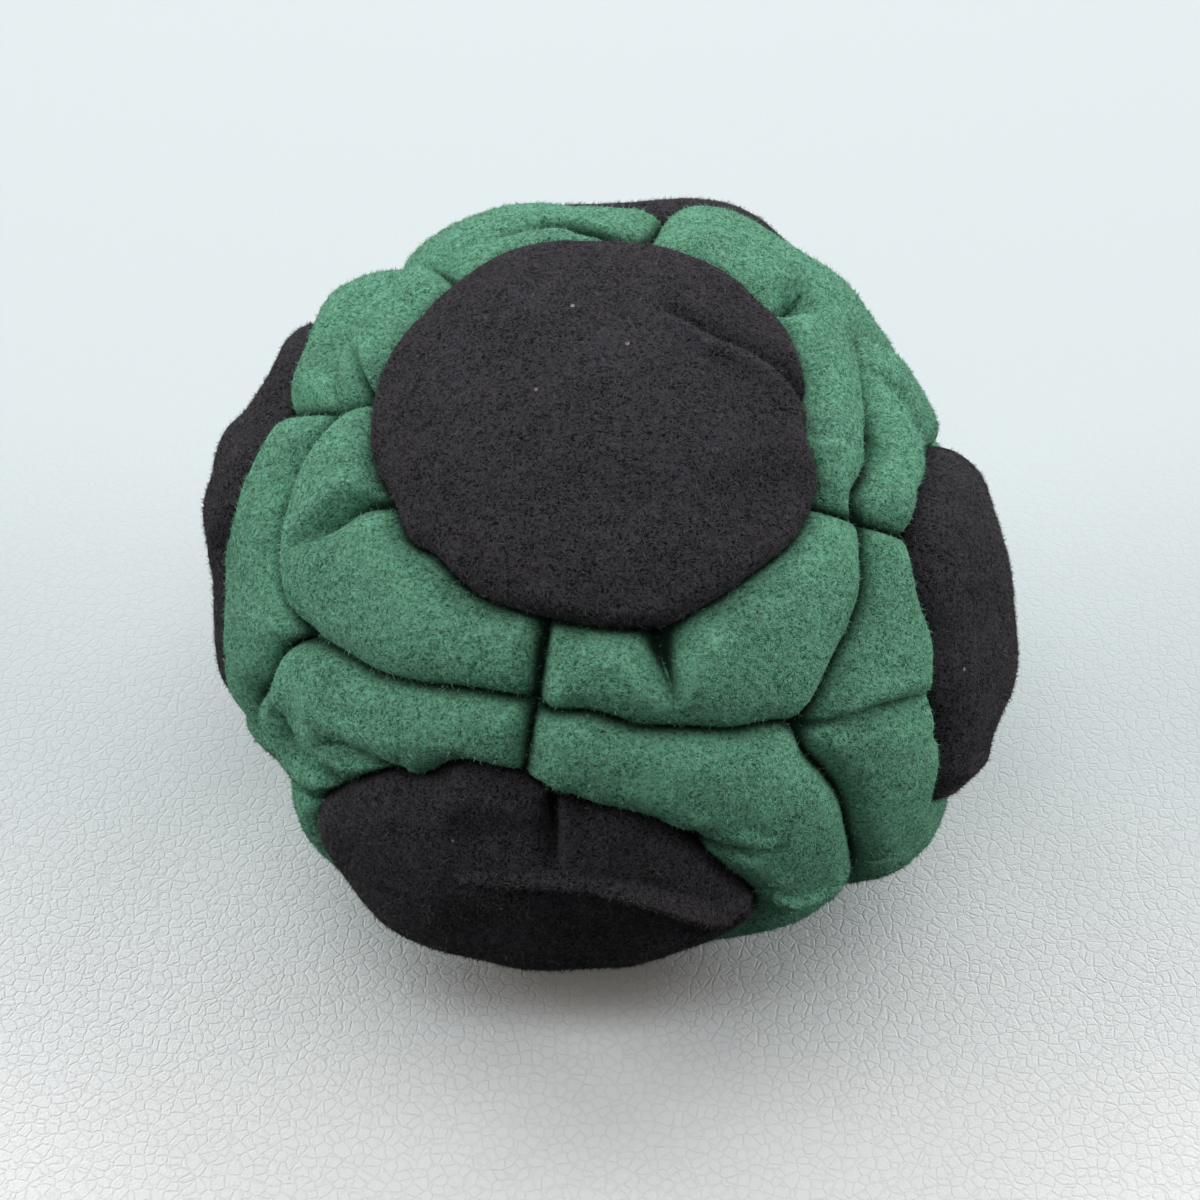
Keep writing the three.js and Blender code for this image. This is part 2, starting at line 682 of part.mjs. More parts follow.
// Lays out the round panels, the short seams and the three-armed panels on the ball
function layOut() {
  for (const [name, disc] of Object.entries(discs)) {
    disc.name = name;
    disc.middle = new THREE.Vector3(...disc.axis).normalize().applyMatrix4(lie);
    const next = new THREE.Vector3(disc.axis[2], disc.axis[0], disc.axis[1]).applyMatrix4(lie);
    disc.side = disc.middle.clone().cross(next).normalize();
    disc.forward = disc.side.clone().cross(disc.middle);
    disc.filled = outlineOf(disc);
    disc.deepTurn = disc.deepPixel ? around(disc, seenAt(disc.deepPixel)).turn : 0;
  }
  const levels = ["top", "bottom"];
  const depths = ["front", "back"];
  const sides = ["left", "right"];
  const pairs = [[levels, depths], [levels, sides], [depths, sides]];
  const seams = pairs.flatMap(([firsts, seconds]) =>
    firsts.flatMap((first) => seconds.map((second) => makeSeam(discs[first], discs[second]))));
  const corners = levels.flatMap((level) =>
    depths.flatMap((depth) => sides.map((side) => makeCorner([level, depth, side], seams))));
  const arms = corners.flatMap((corner) => corner.arms);
  for (const disc of Object.values(discs)) disc.turns = edgeTurns(disc, arms);
  return { seams, corners };
}

// Angles round a round panel of its edge points, which match every second point of the panels beside it
function edgeTurns(disc, arms) {
  const touching = arms.flatMap((arm) => arm.sides).filter((side) => side.disc === disc);
  const turns = touching.flatMap((side) => {
    const shares = side.sweep > 0 ? innerAlongShares.slice(0, -1) : innerAlongShares.slice(1);
    return shares.map((share) => side.startTurn + side.sweep * share);
  });
  const fullTurn = 2 * Math.PI;
  return turns.map((turn) => ((turn % fullTurn) + fullTurn) % fullTurn).sort((one, other) => one - other);
}

function makeSeam(first, second) {
  const name = `${first.name}_${second.name}`;
  const halfway = first.middle.clone().add(second.middle).normalize();
  const read = seamPixels[name];
  const placeOf = (key) => (read ? seenAt(read[key], seenDepth) : halfway);
  return {
    name,
    depth: read ? seamDepth * read.depthShare : seamDepth,
    middle: placeOf("middle"),
    turns: {
      [first.name]: around(first, placeOf("start")).turn,
      [second.name]: around(second, placeOf("end")).turn,
    },
  };
}

// A three-armed panel between three round ones, whose arms go round it anticlockwise seen from outside
function makeCorner(names, seams) {
  const [level, depth, side] = names.map((name) => discs[name]);
  const anticlockwise = level.middle.clone().cross(depth.middle).dot(side.middle) > 0;
  const ring = anticlockwise ? [level, depth, side] : [level, side, depth];
  const name = names.join("_");
  const between = level.middle.clone().add(depth.middle).add(side.middle).normalize();
  const middle = cornerPixels[name] ? seenAt(cornerPixels[name], seenDepth) : between;
  const corner = { name, middle, hand: anticlockwise ? 1 : -1 };
  corner.arms = ring.map((first, index) => {
    const second = ring[(index + 1) % ring.length];
    const seam = seams.find((each) => first.name in each.turns && second.name in each.turns);
    const toSide = (disc) => {
      const startTurn = around(disc, middle).turn;
      return { disc, startTurn, sweep: shortestTurn(startTurn, seam.turns[disc.name]) };
    };
    return { corner, seam, fold: foldLine(corner, seam), sides: [toSide(first), toSide(second)] };
  });
  return corner;
}

function shortestTurn(from, to) {
  const difference = to - from;
  return Math.atan2(Math.sin(difference), Math.cos(difference));
}

function addPiece(group, name, geometry, material) {
  geometry.computeVertexNormals();
  const mesh = new THREE.Mesh(geometry, material);
  mesh.name = name;
  group.add(mesh);
}

function makeFootbag() {
  const footbag = new THREE.Group();
  const { seams, corners } = layOut();
  for (const dent of dents) {
    const depth = Math.max(dent.depthShare, 0) * dentDepth * seenDentShare;
    dent.line = dent.linePixels.map((pixel) => seenAt(pixel, depth));
  }
  for (const disc of Object.values(discs)) {
    addPiece(footbag, `${disc.name}_disc`, discSolid(disc), suedeBlack);
    addPiece(footbag, `${disc.name}_disc_thread`, discThread(disc), sewingThread);
  }
  for (const corner of corners) {
    addPiece(footbag, `${corner.name}_panel`, panelSolid(corner), suedeGreen);
  }
  for (const seam of seams) {
    const arm = corners.flatMap((corner) => corner.arms).find((each) => each.seam === seam);
    addPiece(footbag, `${seam.name}_seam_thread`, shortSeamThread(arm), sewingThread);
  }
  const mouth = seams.find((seam) => seam.name === "bottom_back").middle;
  addPiece(footbag, "inner_liner", linerSolid(mouth), linerCotton);
  addPiece(footbag, "sand_fill", sandSolid(mouth), drySand);
  return footbag;
}

export default makeFootbag();
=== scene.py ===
# Footbag: fourteen suede panels sewn round a cloth bag of sand. Lengths in the dictionaries are millimetres,
# unless a note says metres; the places and sizes of softboxes are metres too.
import itertools
import math

import bmesh
import bpy
import numpy as np
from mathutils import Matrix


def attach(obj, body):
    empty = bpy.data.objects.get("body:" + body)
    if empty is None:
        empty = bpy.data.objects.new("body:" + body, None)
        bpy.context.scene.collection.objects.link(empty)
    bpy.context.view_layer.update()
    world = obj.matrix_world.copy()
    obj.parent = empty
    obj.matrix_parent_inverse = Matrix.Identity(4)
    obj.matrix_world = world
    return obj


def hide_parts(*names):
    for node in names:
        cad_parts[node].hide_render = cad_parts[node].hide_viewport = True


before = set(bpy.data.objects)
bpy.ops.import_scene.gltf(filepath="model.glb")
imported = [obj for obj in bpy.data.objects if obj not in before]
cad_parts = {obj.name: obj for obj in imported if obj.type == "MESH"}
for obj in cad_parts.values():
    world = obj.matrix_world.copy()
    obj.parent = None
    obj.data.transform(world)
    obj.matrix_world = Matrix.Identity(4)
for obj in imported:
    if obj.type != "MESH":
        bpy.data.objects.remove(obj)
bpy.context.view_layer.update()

mm = 0.001
fullTurn = 2 * math.pi

ball = {
    "halfWidth": 26,
    "squashShare": 44 / 52,
    "restHeight": 20.2,  # middle of the ball above the table
    "pressedBlend": 0.5,  # height over which the flat underside rounds up
    "turn": -12.7,  # degrees, about the upright axis
    "tip": 10.4,  # degrees, towards the viewer
}
photo = {  # the camera of the photograph and its 1200 by 1200 frame
    "size": 1200,
    "centre": (613, 589),
    "radius": 395.7,
    "elevation": math.radians(47),
    "distance": 8.5,  # in half widths of the ball
    "squashShare": 0.842,
    "discAngle": math.radians(32.9),
}
towardsViewer = np.array([0, -math.cos(photo["elevation"]), math.sin(photo["elevation"])])
photoUp = np.array([0, math.sin(photo["elevation"]), math.cos(photo["elevation"])])
# Extra height of the bag round the outline that the photograph shows, every 15 degrees from its right
outline = {
    "axis": towardsViewer / (1, 1, ball["squashShare"]),
    "right": np.array([1.0, 0, 0]),
    "heights": [
        -0.2, -0.56, -1.53, -0.15, 1.26, 2.7, 1.7, 2.36, 1.98, 2.28, 1.12, 1.36,
        -0.1, 0.32, -0.66, 0.36, 1.45, 0.88, 0.02, -0.76, -0.08, 0.98, 1.18, 0.59,
    ],
    "fade": 0.8,
    "hidden": 0.2,  # share of full facing below which nothing of a groove's depth is seen
    "open": 0.5,  # and above which all of it is
}
outline["axis"] /= np.linalg.norm(outline["axis"])
outline["up"] = np.cross(outline["axis"], outline["right"])


# Directions and places on the ball


def unit(vectors):
    return vectors / np.linalg.norm(vectors, axis=-1, keepdims=True)


# Depth share of a sewn or folded groove: one minus a quarter circle, so a cusp between round shoulders
def groove(distance, reach):
    near = np.clip(1 - distance / reach, 0, 1)
    return 1 - np.sqrt(1 - near**2)


# A rounded swell: the square of one minus the squared distance
def bell(distance, reach):
    return np.maximum(1 - (distance / reach) ** 2, 0) ** 2


# How far the bag bulges beyond the plain ball: the outline's heights round the photograph's line of sight,
# evenly spaced and eased between, fading towards the viewer and away from them
def fullness(directions):
    across = directions @ outline["right"]
    upward = directions @ outline["up"]
    heights = np.array(outline["heights"])
    step = np.mod(np.arctan2(upward, across) / fullTurn, 1) * len(heights)
    index = step.astype(int) % len(heights)
    share = (1 - np.cos(math.pi * (step - np.floor(step)))) / 2
    height = heights[index] * (1 - share) + heights[(index + 1) % len(heights)] * share
    return height * bell(directions @ outline["axis"], outline["fade"])


# Directions from the ball's middle to what pixels of the photograph show at a depth below the bag's surface:
# each pixel's ray is cut with a sphere after the height is stretched by the squash, and the sphere follows
# the bulge. Where the surface turns away from the viewer, its near side hides the bottom of a groove, so
# less of the depth counts.
def seenAt(pixels, depth=0.0):
    pixels = np.asarray(pixels, float)
    scale = photo["radius"] * photo["distance"]
    ray = photoUp * ((photo["centre"][1] - pixels[..., 1:]) / scale) - towardsViewer
    ray[..., 0] += (pixels[..., 0] - photo["centre"][0]) / scale
    eye = towardsViewer * photo["distance"]
    ray[..., 2] /= photo["squashShare"]
    eye[2] /= photo["squashShare"]
    along = (ray**2).sum(-1, keepdims=True)
    half = (ray @ eye)[..., None]
    hit = np.zeros_like(ray)
    seenDepth = 0.0
    for step in range(6):
        radius = 1 + (fullness(hit)[..., None] - seenDepth) / ball["halfWidth"]
        inside = np.maximum(half**2 - along * (eye @ eye - radius**2), 0)
        hit = unit(eye + ray * ((-half - np.sqrt(inside)) / along))
        if step == 2:
            facing = (hit @ outline["axis"])[..., None]
            opened = (facing - outline["hidden"]) / (outline["open"] - outline["hidden"])
            seenDepth = depth * np.clip(opened, 0, 1)
    return hit


# A place on the bag: the direction times the half width plus crown minus depth, flattened in height,
# and lifted off the table with a small round blend where it would pass through it.
def place(directions, depth, crown=0.0):
    reach = ball["halfWidth"] + fullness(directions) + crown - depth
    points = directions * np.asarray(reach)[..., None]
    height = ball["restHeight"] + points[..., 2] * ball["squashShare"]
    floor = np.maximum(depth, 0)
    overlap = np.maximum(ball["pressedBlend"] - np.abs(height - floor), 0) / ball["pressedBlend"]
    points[..., 2] = np.maximum(height, floor) + overlap**2 * ball["pressedBlend"] / 4
    return points


# Several grooves together, as the cube root of the summed cubes, so that they don't add up where they meet
def together(depths):
    return sum(np.maximum(depth, 0) ** 3 for depth in depths) ** (1 / 3)


# Smooth noise between -1 and 1: random heights on a cubic lattice of the given size, eased between corners
def unevenness(points, size, seed):
    cell = points / size
    low = np.floor(cell).astype(np.int64)
    share = cell - low
    share = share * share * (3 - 2 * share)
    total = np.zeros(points.shape[:-1])
    for corner in itertools.product((0, 1), repeat=3):
        key = ((low + corner) * (73856093, 19349663, 83492791)).sum(-1) + seed * 2654435761
        key = ((key ^ (key >> 15)) * 2246822519) & 0xFFFFFFFF
        key = ((key ^ (key >> 13)) * 3266489917) & 0xFFFFFFFF
        weight = np.where(corner, share, 1 - share).prod(-1)
        total += (((key ^ (key >> 16)) & 0xFFFF) / 32767.5 - 1) * weight
    return total


# Centripetal Catmull-Rom curve through points, at shares of its points' order
def smoothCurve(points, shares):
    points = np.asarray(points, float)
    ends = 2 * points[[0, -1]] - points[[1, -2]]
    knots = np.concatenate([ends[:1], points, ends[1:]])
    step = np.clip(np.asarray(shares) * (len(points) - 1), 0, len(points) - 1)
    leg = np.minimum(step.astype(int), len(points) - 2)
    share = (step - leg)[:, None]
    before, start, end, after = (knots[leg + each] for each in range(4))
    steps = ((before, start), (start, end), (end, after))
    gaps = [np.linalg.norm(b - a, axis=-1, keepdims=True) ** 0.5 for a, b in steps]
    across = (end - start) / gaps[1]
    leave = ((start - before) / gaps[0] - (end - before) / (gaps[0] + gaps[1]) + across) * gaps[1]
    arrive = (across - (after - start) / (gaps[1] + gaps[2]) + (after - end) / gaps[2]) * gaps[1]
    return (
        start
        + leave * share
        + (3 * (end - start) - 2 * leave - arrive) * share**2
        + (2 * (start - end) + leave + arrive) * share**3
    )


# The same curve as evenly spaced directions
def evenLine(points, count):
    fine = smoothCurve(points, np.linspace(0, 1, 200))
    run = np.concatenate([[0], np.cumsum(np.linalg.norm(np.diff(fine, axis=0), axis=1))])
    wanted = np.linspace(0, run[-1], count)
    return unit(np.stack([np.interp(wanted, run, fine[:, axis]) for axis in range(3)], -1))


# Depth of a crease or seam: its groove, and a shallow valley of twice its reach that rounds the suede
# into pads
def creaseDepth(distance, depth, reach):
    return depth * groove(distance, reach) + 0.2 * depth * bell(distance, reach * 1.8)


# Distance in millimetres over the ball from directions to a line of directions, the share along it,
# and which side of it they are on (1 to the left as seen from outside)
def nearestOn(line, directions):
    best = np.full(len(directions), np.inf)
    share = np.zeros(len(directions))
    side = np.ones(len(directions))
    for index, (start, end) in enumerate(zip(line[:-1], line[1:])):
        leg = end - start
        toPoint = directions - start
        along = np.clip(toPoint @ leg / (leg @ leg), 0, 1)
        distance = np.linalg.norm(toPoint - along[:, None] * leg, axis=1)
        closer = distance < best
        best[closer] = distance[closer]
        share[closer] = (index + along[closer]) / (len(line) - 1)
        left = np.cross(start, leg)
        side[closer] = np.sign(toPoint[closer] @ left)
    return best * ball["halfWidth"], share, side


# Round panels: how they lie, their seams' depth and reach, and their outlines in pixels of the photograph

roundPanels = {
    "discAngle": math.pi / 4 - 11 / 52,
    "crown": 0.4,
    "seamDepth": 2.1,
    "seamReach": 3.3,
    # reach in a round panel and beyond its seam, where it isn't the plain one
    "steep": {"top": (1.5, 2.7), "front": (3.3, 2.4), "left": (3.3, 2.4), "right": (3.3, 2.4)},
    "seenDepth": 1.3,  # how deep in a seam's groove the photograph shows the two colours meet
    "axes": {
        "top": (0, 0, 1),
        "bottom": (0, 0, -1),
        "front": (0, -1, 0),
        "back": (-0.03, 1, 0.04),
        "left": (-1, 0.05, 0),
        "right": (1, 0.1, 0.09),
    },
    "crowns": {"top": -1.2, "bottom": 0, "front": -0.25, "back": 0.75, "left": 0.75, "right": 1},
    "deepest": {"top": (0.35, (480, 600)), "front": (0.15, (422, 777)), "right": (0.15, (932, 640))},
    "outlines": {
        "top": [
            (600, 250), (497, 268), (421, 328), (374, 418), (376, 472), (395, 507), (408, 542), (433, 558),
            (475, 596), (539, 619), (590, 629), (631, 632), (667, 629), (698, 613), (752, 577),
            (800, 536), (819, 491), (806, 443), (803, 386), (771, 322), (695, 268),
        ],
        "front": [
            (315, 810), (340, 789), (380, 774), (422, 777), (459, 763), (514, 774), (560, 795), (588, 807),
            (637, 813), (683, 835), (722, 865), (756, 905),
        ],
        "left": [(296, 345), (288, 395), (268, 445), (249, 483), (240, 520), (230, 560)],
        "right": [
            (940, 442), (922, 480), (908, 540), (914, 590), (930, 640), (928, 690), (936, 740), (935, 810),
        ],
    },
}


def turned(vector):
    turn, tip = math.radians(ball["turn"]), math.radians(ball["tip"])
    x, y, z = vector
    y, z = y * math.cos(tip) - z * math.sin(tip), y * math.sin(tip) + z * math.cos(tip)
    return np.array([x * math.cos(turn) - y * math.sin(turn), x * math.sin(turn) + y * math.cos(turn), z])


# Angle of directions from a round panel's middle, and the angle round it
def around(disc, directions):
    lean = np.arccos(np.clip(directions @ disc["middle"], -1, 1))
    return lean, np.arctan2(directions @ disc["side"], directions @ disc["forward"])


def discDirection(disc, lean, turn):
    lean, turn = (np.asarray(each, float)[..., None] for each in (lean, turn))
    out = disc["forward"] * np.cos(turn) + disc["side"] * np.sin(turn)
    return disc["middle"] * np.cos(lean) + out * np.sin(lean)


# Seam angle of a round panel at each turn: a smooth closed curve through its outline's points
def seamLean(disc, turns):
    knots, shares = disc["knots"], disc["shares"]
    wrapped = knots[1] + np.mod(np.asarray(turns, float) - knots[1], fullTurn)
    index = np.clip(np.searchsorted(knots, wrapped, side="right") - 1, 1, len(knots) - 3)
    span = knots[index + 1] - knots[index]
    share = (wrapped - knots[index]) / span
    slopes = (shares[2:] - shares[:-2]) / (knots[2:] - knots[:-2])
    value = (
        (2 * share**3 - 3 * share**2 + 1) * shares[index]
        + (share**3 - 2 * share**2 + share) * slopes[index - 1] * span
        + (3 * share**2 - 2 * share**3) * shares[index + 1]
        + (share**3 - share**2) * slopes[index] * span
    )
    return roundPanels["discAngle"] * value


def seamDepthAt(disc, turns):
    return roundPanels["seamDepth"] * (1 + disc["deepShare"] * np.cos(turns - disc["deepTurn"]))


def layOutDisc(name, axis):
    disc = {"name": name, "middle": unit(turned(unit(np.array(axis, float))))}
    disc["side"] = unit(np.cross(disc["middle"], turned((axis[2], axis[0], axis[1]))))
    disc["forward"] = np.cross(disc["side"], disc["middle"])
    knots, shares = [0.0], [1.0]
    if name in roundPanels["outlines"]:
        leans, turns = around(disc, seenAt(roundPanels["outlines"][name], roundPanels["seenDepth"]))
        order = np.argsort(turns)
        knots, shares = list(turns[order]), list(leans[order] / photo["discAngle"])
    filled = []
    for index, knot in enumerate(knots):  # unseen stretches keep the plain radius
        following = knots[index + 1] if index + 1 < len(knots) else knots[0] + fullTurn
        steps = max(int((following - knot) / math.radians(40)), 1)
        filled.append((knot, shares[index]))
        filled += [(knot + (following - knot) * step / steps, 1.0) for step in range(1, steps)]
    wraps = [(filled[-1][0] - fullTurn, filled[-1][1]), *filled]
    wraps += [(knot + fullTurn, share) for knot, share in filled[:2]]
    disc["knots"], disc["shares"] = np.array(wraps).T
    disc["deepShare"], pixel = roundPanels["deepest"].get(name, (0, None))
    disc["deepTurn"] = around(disc, seenAt(pixel))[1] if pixel else 0
    return disc


discs = {name: layOutDisc(name, axis) for name, axis in roundPanels["axes"].items()}
print("round panels laid out")

# Three-armed panels: their creases and short seams

armPanels = {
    "foldDepth": 2.2,
    "foldReach": 2.5,
    "seamReach": 2.2,
    # reach on each side of a short seam, where one panel hangs over the other
    "lapped": {("top_front_right", "front_right"): 1.2, ("bottom_front_right", "front_right"): 2.4},
    "faint": {  # share of a crease's depth at the panel's middle and at the seam, where it isn't whole
        ("top_back_right", "top_back"): (0.3, 0.35),
        ("top_back_right", "top_right"): (0.6, 1.1),
        ("top_back_left", "top_left"): (0.4, 0.6),
        ("top_back_left", "top_back"): (0.5, 1.3),
    },
    # share of a short seam's depth at its two ends
    "deep": {"top_front": (1.35, 0.95), "front_right": (0.55, 0.55)},
    "wander": 0.05,  # sideways bend of an unseen crease, as a share of its length
    "seams": {  # ends and middle of the short seams, in pixels
        ("top", "front"): [(542, 642), (534, 703), (523, 763)],
        ("top", "right"): [(819, 507), (864, 523), (906, 537)],
        ("top", "left"): [(390, 397), (340, 412), (296, 406)],
        ("front", "right"): [(752, 912), (859, 870), (934, 815)],
    },
    "middles": {
        "top_front_right": (800, 728),
        "top_front_left": (308, 637),
        "top_back_left": (420, 254),
    },
    "folds": {
        ("top_front_right", "top_front"): [
            (772, 726), (737, 733), (681, 731), (640, 729), (593, 715), (551, 713),
        ],
        ("top_front_right", "top_right"): [(822, 694), (839, 655), (854, 624), (864, 590), (864, 548)],
        ("top_front_right", "front_right"): [(806, 752), (826, 774), (843, 800), (850, 830)],
        ("top_front_left", "top_front"): [(340, 655), (374, 675), (418, 686), (475, 693)],
        ("top_front_left", "top_left"): [(284, 599), (280, 554), (287, 506), (304, 459), (323, 433)],
        ("top_front_left", "front_left"): [(284, 649), (274, 669), (270, 683), (256, 703)],
        ("top_back_right", "top_right"): [
            (853, 350), (862, 386), (867, 422), (875, 447), (866, 474), (856, 500),
        ],
        ("top_back_left", "top_left"): [(372, 283), (350, 320), (338, 372)],
        ("top_back_left", "top_back"): [(496, 227), (528, 218), (560, 219), (600, 231), (625, 241)],
    },
}


def layOutSeam(first, second):
    pixels = armPanels["seams"].get((first, second))
    halfway = unit(discs[first]["middle"] + discs[second]["middle"])
    start, middle, end = seenAt(pixels, roundPanels["seenDepth"]) if pixels else (halfway, halfway, halfway)
    turns = {first: around(discs[first], start)[1], second: around(discs[second], end)[1]}
    ends = [discDirection(discs[name], seamLean(discs[name], turn), turn) for name, turn in turns.items()]
    line = np.concatenate([unit(np.linspace(ends[0], middle, 9)), unit(np.linspace(middle, ends[1], 9))[1:]])
    return {"name": f"{first}_{second}", "middle": middle, "turns": turns, "line": line}


def shortestTurn(start, end):
    return math.atan2(math.sin(end - start), math.cos(end - start))


def foldPoints(corner, seam):
    pixels = armPanels["folds"].get((corner["name"], seam["name"]))
    if pixels:
        return [corner["middle"], *seenAt(pixels, roundPanels["seenDepth"]), seam["middle"]]
    sideways = unit(np.cross(corner["middle"], seam["middle"]))
    length = np.linalg.norm(corner["middle"] - seam["middle"])
    bent = (corner["middle"] + seam["middle"]) / 2 + sideways * corner["hand"] * armPanels["wander"] * length
    return [corner["middle"], unit(bent), seam["middle"]]


def layOutCorner(names):
    level, depth, side = (discs[name]["middle"] for name in names)
    anticlockwise = np.cross(level, depth) @ side > 0
    ring = names if anticlockwise else (names[0], names[2], names[1])
    corner = {"name": "_".join(names), "hand": 1 if anticlockwise else -1, "discs": ring, "arms": []}
    pixel = armPanels["middles"].get(corner["name"])
    corner["middle"] = seenAt(pixel, roundPanels["seenDepth"]) if pixel else unit(level + depth + side)
    for index, first in enumerate(ring):
        second = ring[(index + 1) % 3]
        seam = next(each for each in seams if first in each["turns"] and second in each["turns"])
        sides = []
        for name in (first, second):
            startTurn = around(discs[name], corner["middle"])[1]
            sides.append((discs[name], startTurn, shortestTurn(startTurn, seam["turns"][name])))
        line = evenLine(foldPoints(corner, seam), 41)
        corner["arms"].append({"seam": seam, "line": line, "sides": sides})
    return corner


levels, depths, hands = ("top", "bottom"), ("front", "back"), ("left", "right")
seams = [
    layOutSeam(first, second)
    for firsts, seconds in ((levels, depths), (levels, hands), (depths, hands))
    for first, second in itertools.product(firsts, seconds)
]
corners = [layOutCorner(names) for names in itertools.product(levels, depths, hands)]
print("three-armed panels laid out")

# Wrinkles, in pixels along each: depth in millimetres at its start and end, how far it reaches to each side,
# and how high its left side (below zero its right side) is pushed up. A soft one is a valley, or a ridge
# below zero.
wrinkles = {
    "sharp": [
        ("top", 1.2, 3.2, 2.6, -0.8, [(666, 322), (711, 348), (740, 360), (771, 379), (803, 408)]),
        ("front", 3.8, 2.0, 1.7, 0.3, [(553, 795), (554, 815), (556, 840)]),
        ("top_front_right", 2.6, 2.4, 2.2, 0.4, [(809, 728), (837, 720), (880, 705), (919, 696)]),
        ("top_front_right", 5.0, 0.6, 4.0, 0.7, [(657, 632), (662, 656), (668, 678), (677, 702)]),
        ("top_front_right", 4.6, 0.8, 3.0, 0.9, [(662, 828), (677, 832), (705, 832), (758, 826)]),
        (
            "top_front_right", 1.2, 1.2, 1.2, 0.7,
            [(753, 896), (775, 900), (794, 898), (811, 893), (829, 886), (848, 878), (860, 872)],
        ),
        ("top_front_left", 3.4, 1.2, 3.0, -0.5, [(402, 506), (373, 508), (359, 516), (343, 530), (314, 546)]),
        ("top_front_left", 2.2, 3.8, 3.8, 0.4, [(296, 712), (308, 733), (326, 755), (346, 776)]),
        ("top_front_left", 1.8, 3.8, 3.4, 0.4, [(345, 736), (365, 745), (385, 756), (405, 770)]),
        ("top_back_left", 0.8, 1.6, 2.0, 0.9, [(496, 227), (528, 218), (560, 219), (600, 231), (625, 241)]),
        ("top_back_left", 1.6, 2.8, 2.8, -0.5, [(424, 258), (440, 272), (458, 287)]),
        ("top_back_left", 1.2, 3.0, 2.2, 0.3, [(366, 366), (373, 399)]),
        ("top_back_right", 3.6, 1.6, 2.6, 0.3, [(775, 321), (790, 308), (802, 299)]),
        ("top_back_right", 1.0, 1.8, 2.4, 0.3, [(862, 367), (885, 390), (900, 410), (912, 430)]),
        ("top_back_right", 1.6, 0.8, 1.9, 0.3, [(850, 342), (877, 347)]),
    ],
    "soft": [
        ("top", 0.2, 0.45, 4.0, 0, [(551, 497), (680, 502), (806, 500)]),
        ("top_front_right", 1.2, 0.3, 2.2, 0, [(701, 839), (725, 837), (754, 831)]),
        ("top_back_left", 0.5, 0.9, 2.2, 0, [(354, 293), (337, 327), (323, 361)]),
        ("top_back_right", 1.2, 1.6, 1.5, 0, [(870, 434), (875, 446)]),
        ("top_back_right", 1.3, 1.2, 1.6, 0, [(796, 297), (801, 306)]),
        ("top_front_left", 0.5, 0.6, 2.6, 0, [(290, 690), (290, 720), (292, 750)]),
        ("front", -0.15, -0.5, 4.5, 0, [(440, 862), (545, 868), (661, 877), (740, 900)]),
        ("front", -0.5, -0.9, 1.15, 0, [(468, 876), (540, 879), (608, 884), (656, 893), (718, 911)]),
        ("front", -0.35, -0.5, 0.9, 0, [(607, 882), (656, 891), (699, 903), (747, 906)]),
        ("front", 0.5, 0.6, 4.4, 0, [(490, 925), (600, 938), (690, 932)]),
        ("front", -0.5, -0.5, 1.0, 0, [(646, 951), (713, 932), (747, 913)]),
        ("front", 0.4, 0.4, 2.6, 0, [(480, 835), (560, 845), (650, 858)]),
        ("right", -0.35, -0.2, 1.2, 0, [(947, 784), (985, 757), (1003, 742)]),
        ("right", -0.3, -0.2, 1.0, 0, [(931, 810), (953, 808), (974, 797)]),
        ("right", 1.3, 0.5, 2.8, 0, [(956, 450), (976, 476)]),
        ("right", 0.6, 0.8, 4.6, 0, [(1006, 750), (985, 782), (955, 812)]),
        ("left", -0.5, -0.5, 2.6, 0, [(209, 430), (226, 500), (216, 560)]),
    ],
}


# Depth of one panel's wrinkles, and the push of their sides: the shape across each times its depth there,
# as wide as the square root of its depth's share of the deepest
def wrinkleDepth(kind, name, directions, shape):
    depths, pushed = [], np.zeros(len(directions))
    for _, atStart, atEnd, reach, lip, pixels in (each for each in wrinkles[kind] if each[0] == name):
        line = evenLine(seenAt(pixels, max(atStart, atEnd, 0) / 2), 16)
        distance, share, side = nearestOn(line, directions)
        depth = atStart + (atEnd - atStart) * share
        width = reach * np.sqrt(depth / (atStart if abs(atStart) > abs(atEnd) else atEnd))
        depths.append(depth * shape(distance, width))
        raised = bell(distance - width * 0.55, width * 0.75) * np.sin(math.pi * share) ** 0.5
        pushed += abs(lip) * (side * lip > 0) * raised
    return depths, pushed


# Lumps of the sand under the suede and the fine pile of the nap, as heights along the direction
suedeRelief = {"lumps": ((7.0, 0.16), (3.1, 0.07), (1.3, 0.03)), "nap": ((0.5, 0.022), (0.26, 0.018))}


def relief(directions, kinds):
    spots = directions * ball["halfWidth"]
    steps = [step for kind in kinds for step in suedeRelief[kind]]
    return sum(height * unevenness(spots, size, int(size * 100)) for size, height in steps)


# Small gathers that the stitches draw into an edge: noise read along the seam, so they run away from it
puckers = {"size": 2.1, "from": 0.05, "disc": 0.35, "corner": 0.9, "reach": 4.2}


def puckerDepth(disc, turns, seam, toSeam, kind):
    along = unevenness(discDirection(disc, seam, turns) * ball["halfWidth"], puckers["size"], 5)
    drawn = np.clip((along - puckers["from"]) / (1 - puckers["from"]), 0, 1)
    return puckers[kind] * drawn * np.clip(1 - toSeam / puckers["reach"], 0, 1) ** 1.5


# Where the pile is rubbed: along ridges and on the shoulder beside a seam
def wornShare(toSeam, ridges):
    shoulder = 0.25 * bell(toSeam - 2.6, 2.0)
    return np.clip(shoulder + sum((np.maximum(-depth, 0) ** 3 for depth in ridges), 0), 0, 1)


